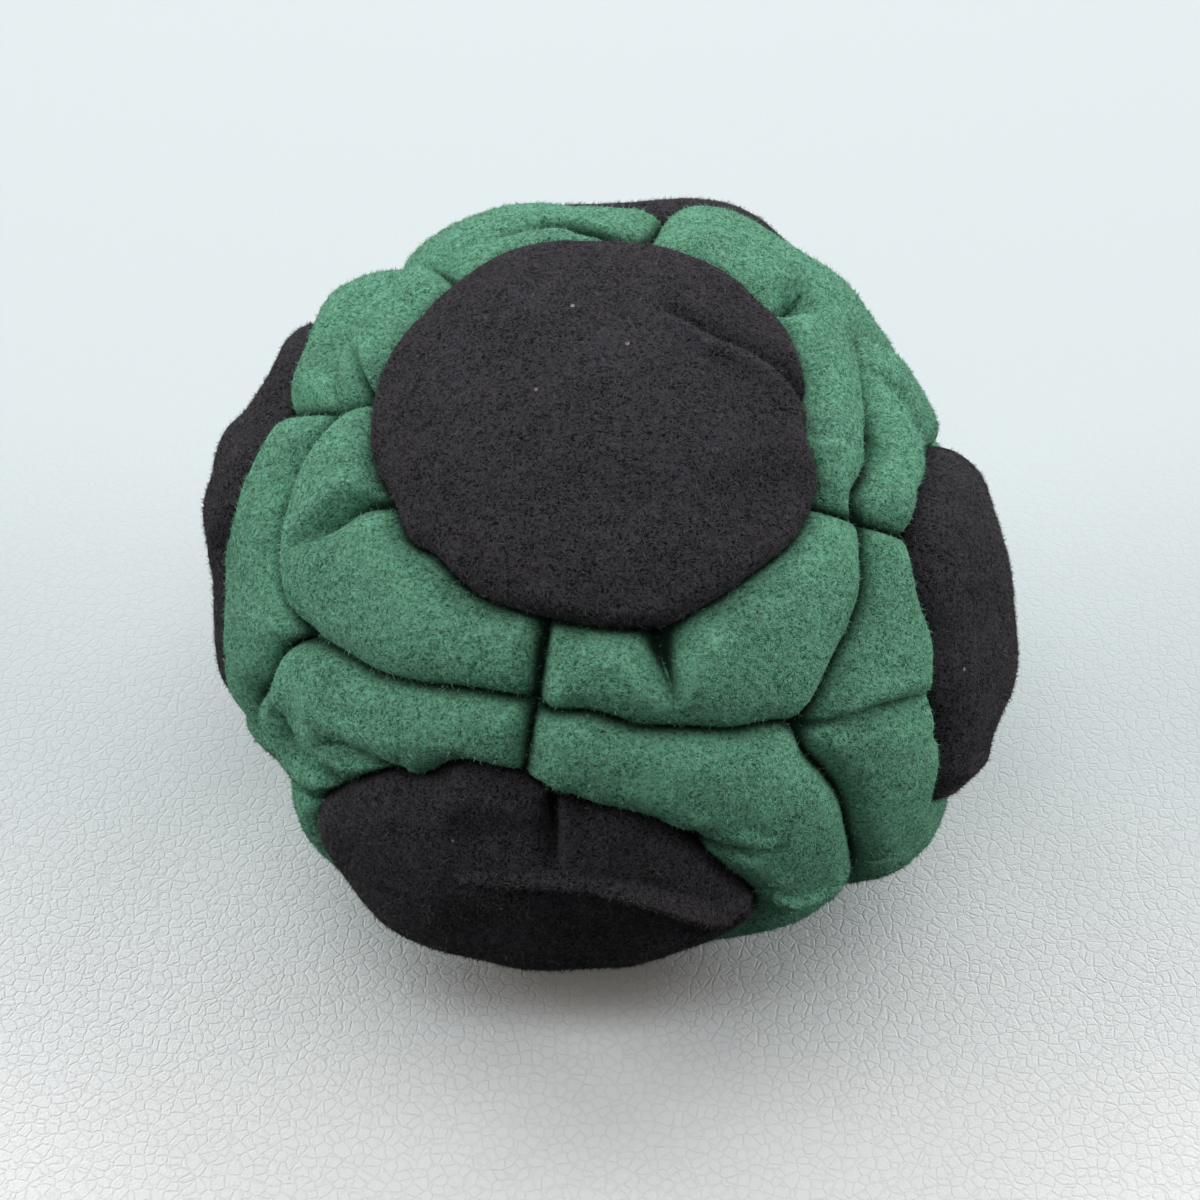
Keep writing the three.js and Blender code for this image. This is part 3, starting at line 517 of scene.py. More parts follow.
# Depth and crown of a round panel: its seam's groove and its wrinkles, and a dome over its whole width
def discShape(disc, directions):
    lean, turn = around(disc, directions)
    seam = seamLean(disc, turn)
    toSeam = (seam - lean) * ball["halfWidth"]
    sharp, pushed = wrinkleDepth("sharp", disc["name"], directions, groove)
    soft, _ = wrinkleDepth("soft", disc["name"], directions, bell)
    reach = roundPanels["steep"].get(disc["name"], [roundPanels["seamReach"]])[0]
    depths = [seamDepthAt(disc, turn) * groove(toSeam, reach), *sharp]
    crown = roundPanels["crowns"][disc["name"]] * roundPanels["crown"] * bell(lean / seam, 1)
    crown = crown + pushed - puckerDepth(disc, turn, seam, toSeam, "disc")
    return together(depths), crown - sum(soft, np.zeros(len(directions))), wornShare(toSeam, soft)


# Depth of a three-armed panel: grooves along its three creases, its three round neighbours' seams and its
# short seams
def cornerShape(corner, directions):
    depths, crown = wrinkleDepth("sharp", corner["name"], directions, groove)
    soft, _ = wrinkleDepth("soft", corner["name"], directions, bell)
    nearest = np.full(len(directions), np.inf)
    for arm in corner["arms"]:
        key = (corner["name"], arm["seam"]["name"])
        toFold, share, _ = nearestOn(arm["line"], directions)
        start, end = armPanels["faint"].get(key, (1, 1))
        foldDepth = armPanels["foldDepth"] * (start + (end - start) * share)
        depths.append(creaseDepth(toFold, foldDepth, armPanels["foldReach"]))
        toSeam, share, _ = nearestOn(arm["seam"]["line"], directions)
        start, end = armPanels["deep"].get(arm["seam"]["name"], (1, 1))
        seamDepth = roundPanels["seamDepth"] * (start + (end - start) * share)
        reach = armPanels["lapped"].get(key, armPanels["seamReach"])
        depths.append(creaseDepth(toSeam, seamDepth, reach))
    for name in corner["discs"]:
        lean, turn = around(discs[name], directions)
        seam = seamLean(discs[name], turn)
        toSeam = (lean - seam) * ball["halfWidth"]
        reach = roundPanels["steep"].get(name, [roundPanels["seamReach"]])[-1]
        depths.append(seamDepthAt(discs[name], turn) * groove(toSeam, reach))
        crown = crown - puckerDepth(discs[name], turn, seam, toSeam, "corner")
        nearest = np.minimum(nearest, toSeam)
    return together(depths), crown - sum(soft, np.zeros(len(directions))), wornShare(nearest, soft)


# Meshes

gridPiece = {"mergeDistance": 1e-7}  # metres


# Gathers grids of points and the faces between them, then makes one closed mesh of them
class Shell:
    def __init__(self):
        self.points, self.quads, self.triangles, self.sunk, self.worn = [], [], [], [], []
        self.count = 0

    def add(self, points, sunk, worn=0.0):
        start = self.count
        flat = points.reshape(-1, 3)
        self.points.append(flat)
        self.sunk.append(np.broadcast_to(sunk, points.shape[:-1]).reshape(-1))
        self.worn.append(np.broadcast_to(worn, points.shape[:-1]).reshape(-1))
        self.count += len(flat)
        return start + np.arange(len(flat)).reshape(points.shape[:-1])

    # Quads between neighbouring rows and columns of a grid of point numbers
    def join(self, index, flip=False):
        quads = np.stack([index[:-1, :-1], index[1:, :-1], index[1:, 1:], index[:-1, 1:]], -1).reshape(-1, 4)
        self.quads.append(quads[:, ::-1] if flip else quads)

    # Triangles between a fine closed loop and a coarse one whose points face every few of the fine one's
    def stitch(self, fine, coarse, flip=False):
        ratio = len(fine) // len(coarse)
        steps = fine.reshape(len(coarse), ratio)
        following = np.roll(fine, -1).reshape(len(coarse), ratio)
        nextCoarse = np.roll(coarse, -1)
        half = ratio // 2
        near = np.where(np.arange(ratio) < half, coarse[:, None], nextCoarse[:, None])
        fans = np.stack([following, steps, near], -1).reshape(-1, 3)
        bridge = np.stack([coarse, nextCoarse, steps[:, half]], -1)
        faces = np.concatenate([fans, bridge])
        self.triangles.append(faces[:, ::-1] if flip else faces)

    def fan(self, middle, loop, flip=False):
        faces = np.stack([np.full(len(loop), middle), loop, np.roll(loop, -1)], -1)
        self.triangles.append(faces[:, ::-1] if flip else faces)

    def make(self, name, material):
        mesh = bpy.data.meshes.new(name)
        points = np.concatenate(self.points) * mm
        faces = [face for group in (*self.quads, *self.triangles) for face in group.tolist()]
        mesh.from_pydata(points, [], faces)
        for field, values in (("sunk", self.sunk), ("worn", self.worn)):
            mesh.attributes.new(field, "FLOAT", "POINT").data.foreach_set("value", np.concatenate(values))
        work = bmesh.new()
        work.from_mesh(mesh)
        bmesh.ops.remove_doubles(work, verts=work.verts, dist=gridPiece["mergeDistance"])
        bmesh.ops.dissolve_degenerate(work, edges=work.edges, dist=gridPiece["mergeDistance"])
        work.to_mesh(mesh)
        work.free()
        mesh.polygons.foreach_set("use_smooth", np.ones(len(mesh.polygons), bool))
        mesh.materials.append(material)
        made = bpy.data.objects.new(name, mesh)
        bpy.context.scene.collection.objects.link(made)
        return made


# Materials


def colour(hexValue):
    shares = [int(hexValue[start : start + 2], 16) / 255 for start in (1, 3, 5)]
    return [share / 12.92 if share <= 0.04045 else ((share + 0.055) / 1.055) ** 2.4 for share in shares] + [1]


# Adds a node, sets its fields and sockets, and links the sockets that are given another node's output
def addNode(tree, kind, fields=None, **sockets):
    node = tree.nodes.new(kind)
    for name, value in (fields or {}).items():
        setattr(node, name, value)
    for name, value in sockets.items():
        numbered = name[0] == "n" and name[1:].isdigit()
        socket = node.inputs[int(name[1:])] if numbered else node.inputs[name.replace("_", " ")]
        if isinstance(value, bpy.types.NodeSocket):
            tree.links.new(value, socket)
        else:
            socket.default_value = value
    return node


def addRamp(tree, factor, stops):
    node = addNode(tree, "ShaderNodeValToRGB", n0=factor)
    ramp = node.color_ramp
    while len(ramp.elements) < len(stops):
        ramp.elements.new(0.5)
    for element, (position, value) in zip(ramp.elements, stops):
        element.position, element.color = position, value
    return node.outputs["Color"]


# Brushed microfibre suede: short dense pile of tangled fibres, so no gloss and a soft light rim, with
# mottling from the pile's lean. A tuft is grainSize across, an area brushed one way patchSize, and the
# fibres that lie curled on it are strandWidth wide, as drawn; rubbed places turn to the worn colour. Places
# sunk in a seam or crease turn to the seam colour, a painted shade for the shadow in the groove.
greenSuede = {
    "name": "brushed_microfibre_suede_green",
    "dark": "#2a5c44",
    "middle": "#4d9371",
    "light": "#7acca4",
    # seam: painted shade, the colour that places sunk in a seam or crease take for the groove's shadow
    "seam": "#173a2b",
    "worn": "#68ad8a",
    "wornShare": 0.35,
    "sheen": 0.1,
    "sheenTint": "#b6e6cb",
    "strand": "#a4e4c4",
    "fibre": ("#285a42", "#a2dfc0"),
    "lint": False,
    "grainSize": 0.26,
    "strandWidth": 0.11,
    "patchSize": 5.0,
}
blackSuede = {
    "name": "brushed_microfibre_suede_black",
    "dark": "#0b0b0d",
    "middle": "#19191b",
    "light": "#3c3b40",
    # seam: painted shade, the colour that places sunk in a seam or crease take for the groove's shadow
    "seam": "#0b0a0b",
    "worn": "#4d443e",
    "wornShare": 0.8,
    "sheen": 0.05,
    "sheenTint": "#8a7f7a",
    "strand": "#64616a",
    "fibre": ("#0a0a0b", "#7a7672"),
    "lint": True,
    "grainSize": 0.25,
    "strandWidth": 0.1,
    "patchSize": 5.0,
}

tuftHeight = 0.17  # millimetres that the pile's tufts stand up
lintLook = {"spacing": 3.4, "colour": "#c9c4c0"}  # pale specks of lint caught in the black pile


def makeSuede(look):
    material = bpy.data.materials.new(look["name"])
    material.use_nodes = True
    tree = material.node_tree
    shader = tree.nodes["Principled BSDF"]
    spot = addNode(tree, "ShaderNodeTexCoord").outputs["Object"]
    grain = addNode(
        tree, "ShaderNodeTexNoise", Vector=spot, Scale=1 / (look["grainSize"] * mm), Detail=4.0,
        Roughness=0.7, Distortion=0.7,
    ).outputs["Fac"]
    patches = addNode(
        tree, "ShaderNodeTexNoise", Vector=spot, Scale=1 / (look["patchSize"] * mm), Detail=3.0,
        Roughness=0.55,
    ).outputs["Fac"]
    shift = addNode(
        tree, "ShaderNodeMath", {"operation": "MULTIPLY_ADD"}, n0=patches, n1=0.3, n2=-0.15
    ).outputs[0]
    level = addNode(tree, "ShaderNodeMath", {"operation": "ADD"}, n0=grain, n1=shift).outputs[0]
    pile = addRamp(
        tree, level,
        [(0.36, colour(look["dark"])), (0.5, colour(look["middle"])), (0.6, colour(look["light"]))],
    )
    strands = None
    for size in (1.6, 2.7):  # curled fibres: the lines where two noises cross their middle
        bend = addNode(
            tree, "ShaderNodeTexNoise", Vector=spot, Scale=1 / (look["grainSize"] * size * mm),
            Detail=1.0, Distortion=1.6,
        ).outputs["Fac"]
        across = addNode(tree, "ShaderNodeMath", {"operation": "SUBTRACT"}, n0=bend, n1=0.5).outputs[0]
        away = addNode(tree, "ShaderNodeMath", {"operation": "ABSOLUTE"}, n0=across).outputs[0]
        width = look["strandWidth"] / (look["grainSize"] * size) * 0.5
        line = addNode(tree, "ShaderNodeMapRange", Value=away, From_Min=width, From_Max=0.0).outputs[0]
        strands = addNode(
            tree, "ShaderNodeMath", {"operation": "MAXIMUM"}, n0=line, n1=strands or 0.0
        ).outputs[0]
    lit = addNode(tree, "ShaderNodeMath", {"operation": "MULTIPLY"}, n0=strands, n1=0.6).outputs[0]
    pile = addNode(
        tree, "ShaderNodeMix", {"data_type": "RGBA"}, n0=lit, n6=pile, n7=colour(look["strand"])
    ).outputs[2]
    worn = addNode(tree, "ShaderNodeAttribute", {"attribute_name": "worn"}).outputs["Fac"]
    rubbed = addNode(tree, "ShaderNodeMath", {"operation": "MULTIPLY"}, n0=worn, n1=patches).outputs[0]
    share = addNode(
        tree, "ShaderNodeMapRange", Value=rubbed, From_Min=0.08, From_Max=0.55, To_Max=look["wornShare"]
    ).outputs[0]
    pile = addNode(
        tree, "ShaderNodeMix", {"data_type": "RGBA"}, n0=share, n6=pile, n7=colour(look["worn"])
    ).outputs[2]
    # Painted shade: the deeper a place is sunk in a seam or crease, the more it turns to the seam colour
    sunk = addNode(tree, "ShaderNodeAttribute", {"attribute_name": "sunk"}).outputs["Fac"]
    grooveShade = addNode(
        tree, "ShaderNodeMapRange", {"interpolation_type": "SMOOTHSTEP"}, Value=sunk, From_Min=0.5,
        From_Max=1.0,
    ).outputs[0]
    shade = addNode(
        tree, "ShaderNodeMix", {"data_type": "RGBA"}, n0=grooveShade, n6=pile, n7=colour(look["seam"])
    ).outputs[2]
    if look["lint"]:
        lint = addNode(
            tree, "ShaderNodeTexVoronoi", {"feature": "F1"}, Vector=spot,
            Scale=1 / (lintLook["spacing"] * mm), Randomness=1.0,
        ).outputs["Distance"]
        near = addNode(
            tree, "ShaderNodeMapRange", Value=lint, From_Min=0.05, From_Max=0.035, To_Min=0.0, To_Max=0.8
        ).outputs[0]
        shade = addNode(
            tree, "ShaderNodeMix", {"data_type": "RGBA"}, n0=near, n6=shade, n7=colour(lintLook["colour"])
        ).outputs[2]
    tree.links.new(shade, shader.inputs["Base Color"])
    fine = addNode(
        tree, "ShaderNodeTexNoise", Vector=spot, Scale=1 / (look["grainSize"] * 0.45 * mm),
        Detail=2.0, Roughness=0.6, Distortion=0.8,
    ).outputs["Fac"]
    tufts = addNode(tree, "ShaderNodeMath", {"operation": "ADD"}, n0=grain, n1=fine).outputs[0]
    height = addNode(
        tree, "ShaderNodeMath", {"operation": "MULTIPLY_ADD"}, n0=strands, n1=0.5, n2=tufts
    ).outputs[0]
    bump = addNode(
        tree, "ShaderNodeBump", Strength=1.0, Distance=tuftHeight * mm, Height=height
    ).outputs["Normal"]
    tree.links.new(bump, shader.inputs["Normal"])
    shader.inputs["Roughness"].default_value = 0.95
    shader.inputs["Specular IOR Level"].default_value = 0.12
    shader.inputs["Sheen Weight"].default_value = look["sheen"]
    shader.inputs["Sheen Roughness"].default_value = 0.45
    shader.inputs["Sheen Tint"].default_value = colour(look["sheenTint"])
    return material


greenMaterial, blackMaterial = makeSuede(greenSuede), makeSuede(blackSuede)


# Loose fibres of the pile: each has one shade between two, from its tone
def makeFibres(look):
    material = bpy.data.materials.new(look["name"].replace("suede", "pile_fibres"))
    material.use_nodes = True
    tree = material.node_tree
    shader = tree.nodes["Principled BSDF"]
    tone = addNode(tree, "ShaderNodeAttribute", {"attribute_name": "tone"}).outputs["Fac"]
    shade = addRamp(tree, tone, [(0.0, colour(look["fibre"][0])), (1.0, colour(look["fibre"][1]))])
    tree.links.new(shade, shader.inputs["Base Color"])
    shader.inputs["Roughness"].default_value = 0.85
    shader.inputs["Specular IOR Level"].default_value = 0.2
    return material


greenFibres, blackFibres = makeFibres(greenSuede), makeFibres(blackSuede)

threadLook = {"name": "waxed_polyester_thread", "colour": "#23262a", "light": "#3d4249"}
linerLook = {"name": "woven_cotton_lining", "colour": "#d9d3c4", "dark": "#b8b09c"}
sandLook = {"name": "dry_sand", "colour": "#c6ae83", "dark": "#8f7750"}


def makePlain(look, grainSize, roughness):
    material = bpy.data.materials.new(look["name"])
    material.use_nodes = True
    tree = material.node_tree
    shader = tree.nodes["Principled BSDF"]
    spot = addNode(tree, "ShaderNodeTexCoord").outputs["Object"]
    grain = addNode(
        tree, "ShaderNodeTexNoise", Vector=spot, Scale=1 / (grainSize * mm), Detail=2.0
    ).outputs["Fac"]
    other = look.get("dark") or look["light"]
    shade = addRamp(tree, grain, [(0.35, colour(other)), (0.65, colour(look["colour"]))])
    tree.links.new(shade, shader.inputs["Base Color"])
    bump = addNode(
        tree, "ShaderNodeBump", Strength=0.5, Distance=grainSize * 0.3 * mm, Height=grain
    ).outputs["Normal"]
    tree.links.new(bump, shader.inputs["Normal"])
    shader.inputs["Roughness"].default_value = roughness
    return material


threadMaterial = makePlain(threadLook, 0.2, 0.6)
linerMaterial = makePlain(linerLook, 0.35, 0.9)
sandMaterial = makePlain(sandLook, 0.3, 1.0)

# Meshes of the suede panels

panelMesh = {
    "turns": 320,
    "rings": 96,
    "along": 72,
    "across": 64,  # on each side of the crease
    "coarse": 4,  # outside lines for each inside line
    "thickness": 0.9,
    "gap": 0.06,
    "edgeDepth": 4.6,
}


# Shares from 0 to 1, closer together at one or both ends
def graded(count, atStart, atEnd):
    share = np.linspace(0, 1, count + 1)
    if atStart and atEnd:
        return share + 0.75 * (-np.sin(fullTurn * share)) / fullTurn
    eased = np.sin(share * math.pi / 2)
    return share * 0.35 + eased * 0.65 if atEnd else share * 0.35 + (1 - eased[::-1]) * 0.65


# Places of a panel's sheet at some depth under its outside, and there how sunk in a seam, which the suede
# paints as shade, and how worn it is
def outsidePlaces(shape, directions, under):
    flat = directions.reshape(-1, 3)
    depth, crown, worn = shape(flat)
    crown = crown + relief(flat, ("lumps", "nap") if under == 0 else ("lumps",))
    points = place(flat, depth + under, crown)
    # The sunk share becomes painted seam shade in the suede's colour
    sunk = np.clip(depth / roundPanels["seamDepth"], 0, 1)
    grid = directions.shape[:-1]
    return points.reshape(directions.shape), sunk.reshape(grid), worn.reshape(grid)


# A round panel's shell: outside sheet, edge turned in along the seam, and inside sheet
def makeDisc(disc):
    shell = Shell()
    turns = np.linspace(0, fullTurn, panelMesh["turns"], endpoint=False)
    shape = lambda directions: discShape(disc, directions)

    def sheet(rings, everyTurn, inset, under):
        chosen = turns[::everyTurn]
        leans = (seamLean(disc, chosen) - inset / ball["halfWidth"]) * rings[:, None]
        return outsidePlaces(shape, discDirection(disc, leans, np.broadcast_to(chosen, leans.shape)), under)

    def rim(inset):
        leans = seamLean(disc, turns) - inset / ball["halfWidth"]
        return place(discDirection(disc, leans, turns), np.full(len(turns), float(panelMesh["edgeDepth"])))

    inset = panelMesh["gap"] / 2
    inner = inset + panelMesh["thickness"]
    rings = graded(panelMesh["rings"], False, True)[1:]
    coarse = graded(panelMesh["rings"] // panelMesh["coarse"], False, True)[1:]
    closed = lambda index: np.concatenate([index, index[..., :1]], -1)
    outsidePoints, sunk, worn = sheet(rings, 1, inset, 0)
    outside = shell.add(outsidePoints, sunk, worn)
    middle = shell.add(*outsidePlaces(shape, disc["middle"][None], 0))
    shell.fan(middle[0], outside[0])
    shell.join(closed(outside))
    walls = np.stack([rim(inset), rim(inner)])
    # The turned-in edge takes the full painted seam shade
    edges = shell.add(walls, 1.0)
    shell.join(closed(np.stack([outside[-1], edges[0], edges[1]])))
    inside = shell.add(*sheet(coarse, panelMesh["coarse"], inner, panelMesh["thickness"]))
    shell.stitch(edges[1], inside[-1])
    shell.join(closed(inside), flip=True)
    middle = shell.add(*outsidePlaces(shape, disc["middle"][None], panelMesh["thickness"]))
    shell.fan(middle[0], inside[0], flip=True)
    wholeTurn = np.r_[0 : len(turns), 0]
    return shell, (outsidePoints[:, wholeTurn], sunk[:, wholeTurn])


# Directions on one arm: straight lines over the ball from the crease out to the round panels' seams
def armDirections(arm, alongs, acrosses, inset):
    tip = np.linalg.norm(arm["line"][0] - arm["line"][-1]) * ball["halfWidth"]
    alongs = np.asarray(alongs) * (1 - inset / tip)
    spread = np.arange(len(arm["line"])) / (len(arm["line"]) - 1)
    crease = np.stack([np.interp(alongs, spread, arm["line"][:, axis]) for axis in range(3)], -1)
    rows = []
    for (disc, start, sweep), sign in zip(arm["sides"], (-1, 1)):
        turns = start + sweep * alongs
        edge = discDirection(disc, seamLean(disc, turns), turns)
        breadth = np.linalg.norm(edge - crease, axis=-1) * ball["halfWidth"]
        picked = acrosses[acrosses < 0] if sign < 0 else acrosses[acrosses >= 0]
        share = np.abs(picked) * (1 - inset / breadth[:, None])
        rows.append(unit(crease[:, None] + share[..., None] * (edge - crease)[:, None]))
    return np.concatenate(rows, 1)


def makeCorner(corner):
    shell = Shell()
    half = graded(panelMesh["across"], True, True)
    acrosses = np.concatenate([-half[:0:-1], half])
    alongs = graded(panelMesh["along"], False, True)
    step = panelMesh["coarse"]
    inset = panelMesh["gap"] / 2
    inner = inset + panelMesh["thickness"]
    shape = lambda directions: cornerShape(corner, directions)
    loops = {"outside": [], "edge": [], "turned": [], "inside": []}
    shown = []

    # Edge of one arm: out along one side, over the tip and back along the other
    def edgeOf(index):
        return np.concatenate([index[:-1, 0], index[-1, :-1], index[:0:-1, -1]])

    for arm in corner["arms"]:
        points, sunk, worn = outsidePlaces(shape, armDirections(arm, alongs, acrosses, inset), 0)
        shown.append((points, sunk))
        outside = shell.add(points, sunk, worn)
        shell.join(outside)
        coarse = armDirections(arm, alongs[::step], acrosses[::step], inner)
        inside = shell.add(*outsidePlaces(shape, coarse, panelMesh["thickness"]))
        shell.join(inside, flip=True)
        loops["outside"].append(edgeOf(outside))
        loops["inside"].append(edgeOf(inside))
        for name, depthInset in (("edge", inset), ("turned", inner)):
            edgeDepths = np.full((len(alongs), len(acrosses)), float(panelMesh["edgeDepth"]))
            rim = place(armDirections(arm, alongs, acrosses, depthInset), edgeDepths)
            # The turned-in edge takes the full painted seam shade
            loops[name].append(shell.add(np.concatenate([rim[:-1, 0], rim[-1, :-1], rim[:0:-1, -1]]), 1.0))
    outside, edge, turned, inside = (
        np.concatenate(loops[name]) for name in ("outside", "edge", "turned", "inside")
    )
    rows = np.stack([outside, edge, turned])
    shell.join(np.concatenate([rows, rows[:, :1]], 1))
    shell.stitch(turned, inside)
    return shell, shown


def dress(piece, node):
    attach(piece, "root")
    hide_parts(node)


# The nap on a panel's outside: three-sided spikes with their roots in the suede, more of them on a larger
# face, leaning the way the pile is brushed there, give or take a little
nap = {
    "perSquare": 24,  # on a square millimetre
    "shortest": 0.14,
    "longest": 0.46,
    "width": 0.052,
    "root": 0.04,  # how deep a fibre is rooted
    "brushed": 4.0,  # size of an area brushed one way
}


def makeNap(name, grids, material, seed):
    random = np.random.default_rng(seed)
    middle = np.array([0, 0, ball["restHeight"]])
    starts, steps, sideSteps, bare = [], [], [], []
    for grid, sunk in grids:
        bare.append(1 - 0.85 * sunk[:-1, :-1].reshape(-1))  # few fibres stand in a seam
        starts.append(grid[:-1, :-1].reshape(-1, 3))
        steps.append((grid[1:, :-1] - grid[:-1, :-1]).reshape(-1, 3))
        sideSteps.append((grid[:-1, 1:] - grid[:-1, :-1]).reshape(-1, 3))
    start, step, sideStep = (np.concatenate(each) for each in (starts, steps, sideSteps))
    normal = np.cross(step, sideStep)
    area = np.linalg.norm(normal, axis=1) * np.concatenate(bare)
    count = int(area.sum() * nap["perSquare"])
    pick = random.choice(len(area), size=count, p=area / area.sum())
    shares = random.random((count, 2, 1))
    root = start[pick] + shares[:, 0] * step[pick] + shares[:, 1] * sideStep[pick]
    normal = unit(normal[pick])
    normal *= np.sign((normal * (root - middle)).sum(-1, keepdims=True))
    level = unit(np.cross(normal, (0.3, 0.5, 0.8)))
    turn = math.pi * 2.2 * unevenness(root, nap["brushed"], seed) + random.normal(0, 1.3, count)
    lying = level * np.cos(turn)[:, None] + np.cross(normal, level) * np.sin(turn)[:, None]
    rise = random.uniform(0.03, 0.7, count)[:, None] ** 1.4
    run = unit(lying * (1 - rise) + normal * rise)
    length = random.uniform(nap["shortest"], nap["longest"], count)[:, None]
    side = unit(np.cross(run, normal))
    other = np.cross(run, side)
    base = root - normal * nap["root"]
    angles = fullTurn * np.arange(3) / 3
    ring = [base + nap["width"] / 2 * (np.cos(angle) * side + np.sin(angle) * other) for angle in angles]
    points = np.stack([*ring, root + run * length], 1).reshape(-1, 3)
    points[:, 2] = np.maximum(points[:, 2], 0.01)
    first = 4 * np.arange(count)[:, None]
    faces = np.concatenate([first + each for each in ([0, 2, 1], [0, 1, 3], [1, 2, 3], [2, 0, 3])])
    mesh = bpy.data.meshes.new(name)
    mesh.from_pydata(points * mm, [], faces.tolist())
    tone = np.repeat(random.random(count), 4)
    mesh.attributes.new("tone", "FLOAT", "POINT").data.foreach_set("value", tone)
    mesh.materials.append(material)
    made = bpy.data.objects.new(name, mesh)
    bpy.context.scene.collection.objects.link(made)
    return made


def finishPanel(piece, grids, fibres, seed):
    pile = makeNap(piece.name.replace("_suede", "_nap"), grids, fibres, seed)
    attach(pile, "root")
    print("made", piece.name, len(piece.data.polygons), "and", pile.name, len(pile.data.polygons))


for seed, (name, disc) in enumerate(discs.items()):
    shell, shown = makeDisc(disc)
    piece = shell.make(f"{name}_disc_suede", blackMaterial)
    dress(piece, f"{name}_disc")
    finishPanel(piece, [shown], blackFibres, 20 + seed)
for seed, corner in enumerate(corners):
    shell, shown = makeCorner(corner)
    piece = shell.make(f"{corner['name']}_suede", greenMaterial)
    dress(piece, f"{corner['name']}_panel")
    finishPanel(piece, shown, greenFibres, 40 + seed)

# Sewing thread inside the turned-in edges
stitches = {
    "thickness": 0.46,
    "length": 2.1,
    "pinch": 0.35,
    "wave": 0.08,
    "steps": 6,
    "sides": 8,
    "inset": 1.65,
    "depth": 4.0,
}


# A row of stitches: a tube along a path, thinner where the needle went through, weaving up and down
# between them
def makeStitches(name, path, isRing, node):
    ends = np.concatenate([path, path[:1]]) if isRing else path
    run = np.concatenate([[0], np.cumsum(np.linalg.norm(np.diff(ends, axis=0), axis=1))])
    count = max(int(run[-1] / stitches["length"]), 2)
    places = np.linspace(0, run[-1], count * stitches["steps"] + 1)
    places = places[:-1] if isRing else places
    points = np.stack([np.interp(places, run, ends[:, axis]) for axis in range(3)], -1)
    ahead = np.roll(points, -1, 0) - np.roll(points, 1, 0)
    if not isRing:
        ahead[0], ahead[-1] = points[1] - points[0], points[-1] - points[-2]
    ahead = unit(ahead)
    outward = points - np.array([0, 0, ball["restHeight"]])
    outward = unit(outward - (outward * ahead).sum(-1, keepdims=True) * ahead)
    sideways = np.cross(outward, ahead)
    phase = math.pi * places / run[-1] * count
    points = points + outward * (stitches["wave"] * np.cos(2 * phase))[:, None]
    radius = stitches["thickness"] / 2 * (1 - stitches["pinch"] * np.cos(phase) ** 8)
    angles = fullTurn * np.arange(stitches["sides"]) / stitches["sides"]
    spread = outward[:, None] * np.cos(angles)[:, None] + sideways[:, None] * np.sin(angles)[:, None]
    shell = Shell()
    index = shell.add(points[:, None] + spread * radius[:, None, None], 0.0)
    rows = np.concatenate([index, index[:1]]) if isRing else index
    shell.join(np.concatenate([rows, rows[:, :1]], 1))
    if not isRing:
        caps = shell.add(points[[0, -1]], 0.0)
        shell.fan(caps[0], index[0])
        shell.fan(caps[1], index[-1], flip=True)
    piece = shell.make(name, threadMaterial)
    dress(piece, node)
    return piece


for name, disc in discs.items():
    turns = np.linspace(0, fullTurn, 240, endpoint=False)
    leans = seamLean(disc, turns) - stitches["inset"] / ball["halfWidth"]
    path = place(discDirection(disc, leans, turns), np.full(len(turns), stitches["depth"]))
    makeStitches(f"{name}_disc_stitches", path, True, f"{name}_disc_thread")
for seam in seams:
    arm = next(each for corner in corners for each in corner["arms"] if each["seam"] is seam)
    across = np.linspace(-0.6, 0.6, 41)
    directions = armDirections(arm, np.ones(1), across, stitches["inset"])[0]
    path = place(directions, np.full(len(directions), stitches["depth"]))
    makeStitches(f"{seam['name']}_stitches", path, False, f"{seam['name']}_seam_thread")
print("made the stitches")

# The lining bag and the sand in it, round the mouth that the sand was filled through
filling = {
    "deep": 5.1,  # lining below the ball's surface, away from the round panels
    "dome": 1.6,  # and under their middles
    "domeReach": 0.85,
    "mouth": 9 / 52,
    "cloth": 0.5,
    "hem": 0.3,
    "gap": 0.3,  # lining to sand
    "rows": 96,
    "turns": 180,
}


# Depth of the lining: bells rise into the round panels from a deeper round bag
def liningDepth(directions):
    depth = np.full(len(directions), float(filling["deep"]))
    for name, disc in discs.items():
        rise = filling["deep"] - filling["dome"] + min(roundPanels["crowns"][name] * roundPanels["crown"], 0)
        depth -= rise * bell(around(disc, directions)[0], roundPanels["discAngle"] * filling["domeReach"])
    return depth


# Rows of places round the mouth, from its rim to the far pole
def fillingRows(pole, under, texture):
    level = unit(np.cross(pole, (0.2, 0.9, 0.1)))
    other = np.cross(pole, level)
    leans = filling["mouth"] + (math.pi - filling["mouth"]) * graded(filling["rows"], False, False)[:-1, None]
    turns = np.linspace(0, fullTurn, filling["turns"], endpoint=False)
    ring = level * np.cos(turns)[:, None] + other * np.sin(turns)[:, None]
    directions = pole * np.cos(leans)[..., None] + ring * np.sin(leans)[..., None]
    flat = directions.reshape(-1, 3)
    return place(flat, liningDepth(flat) + under, texture(flat)).reshape(directions.shape)


def onePlace(direction, under):
    return place(direction[None], liningDepth(direction[None]) + under)


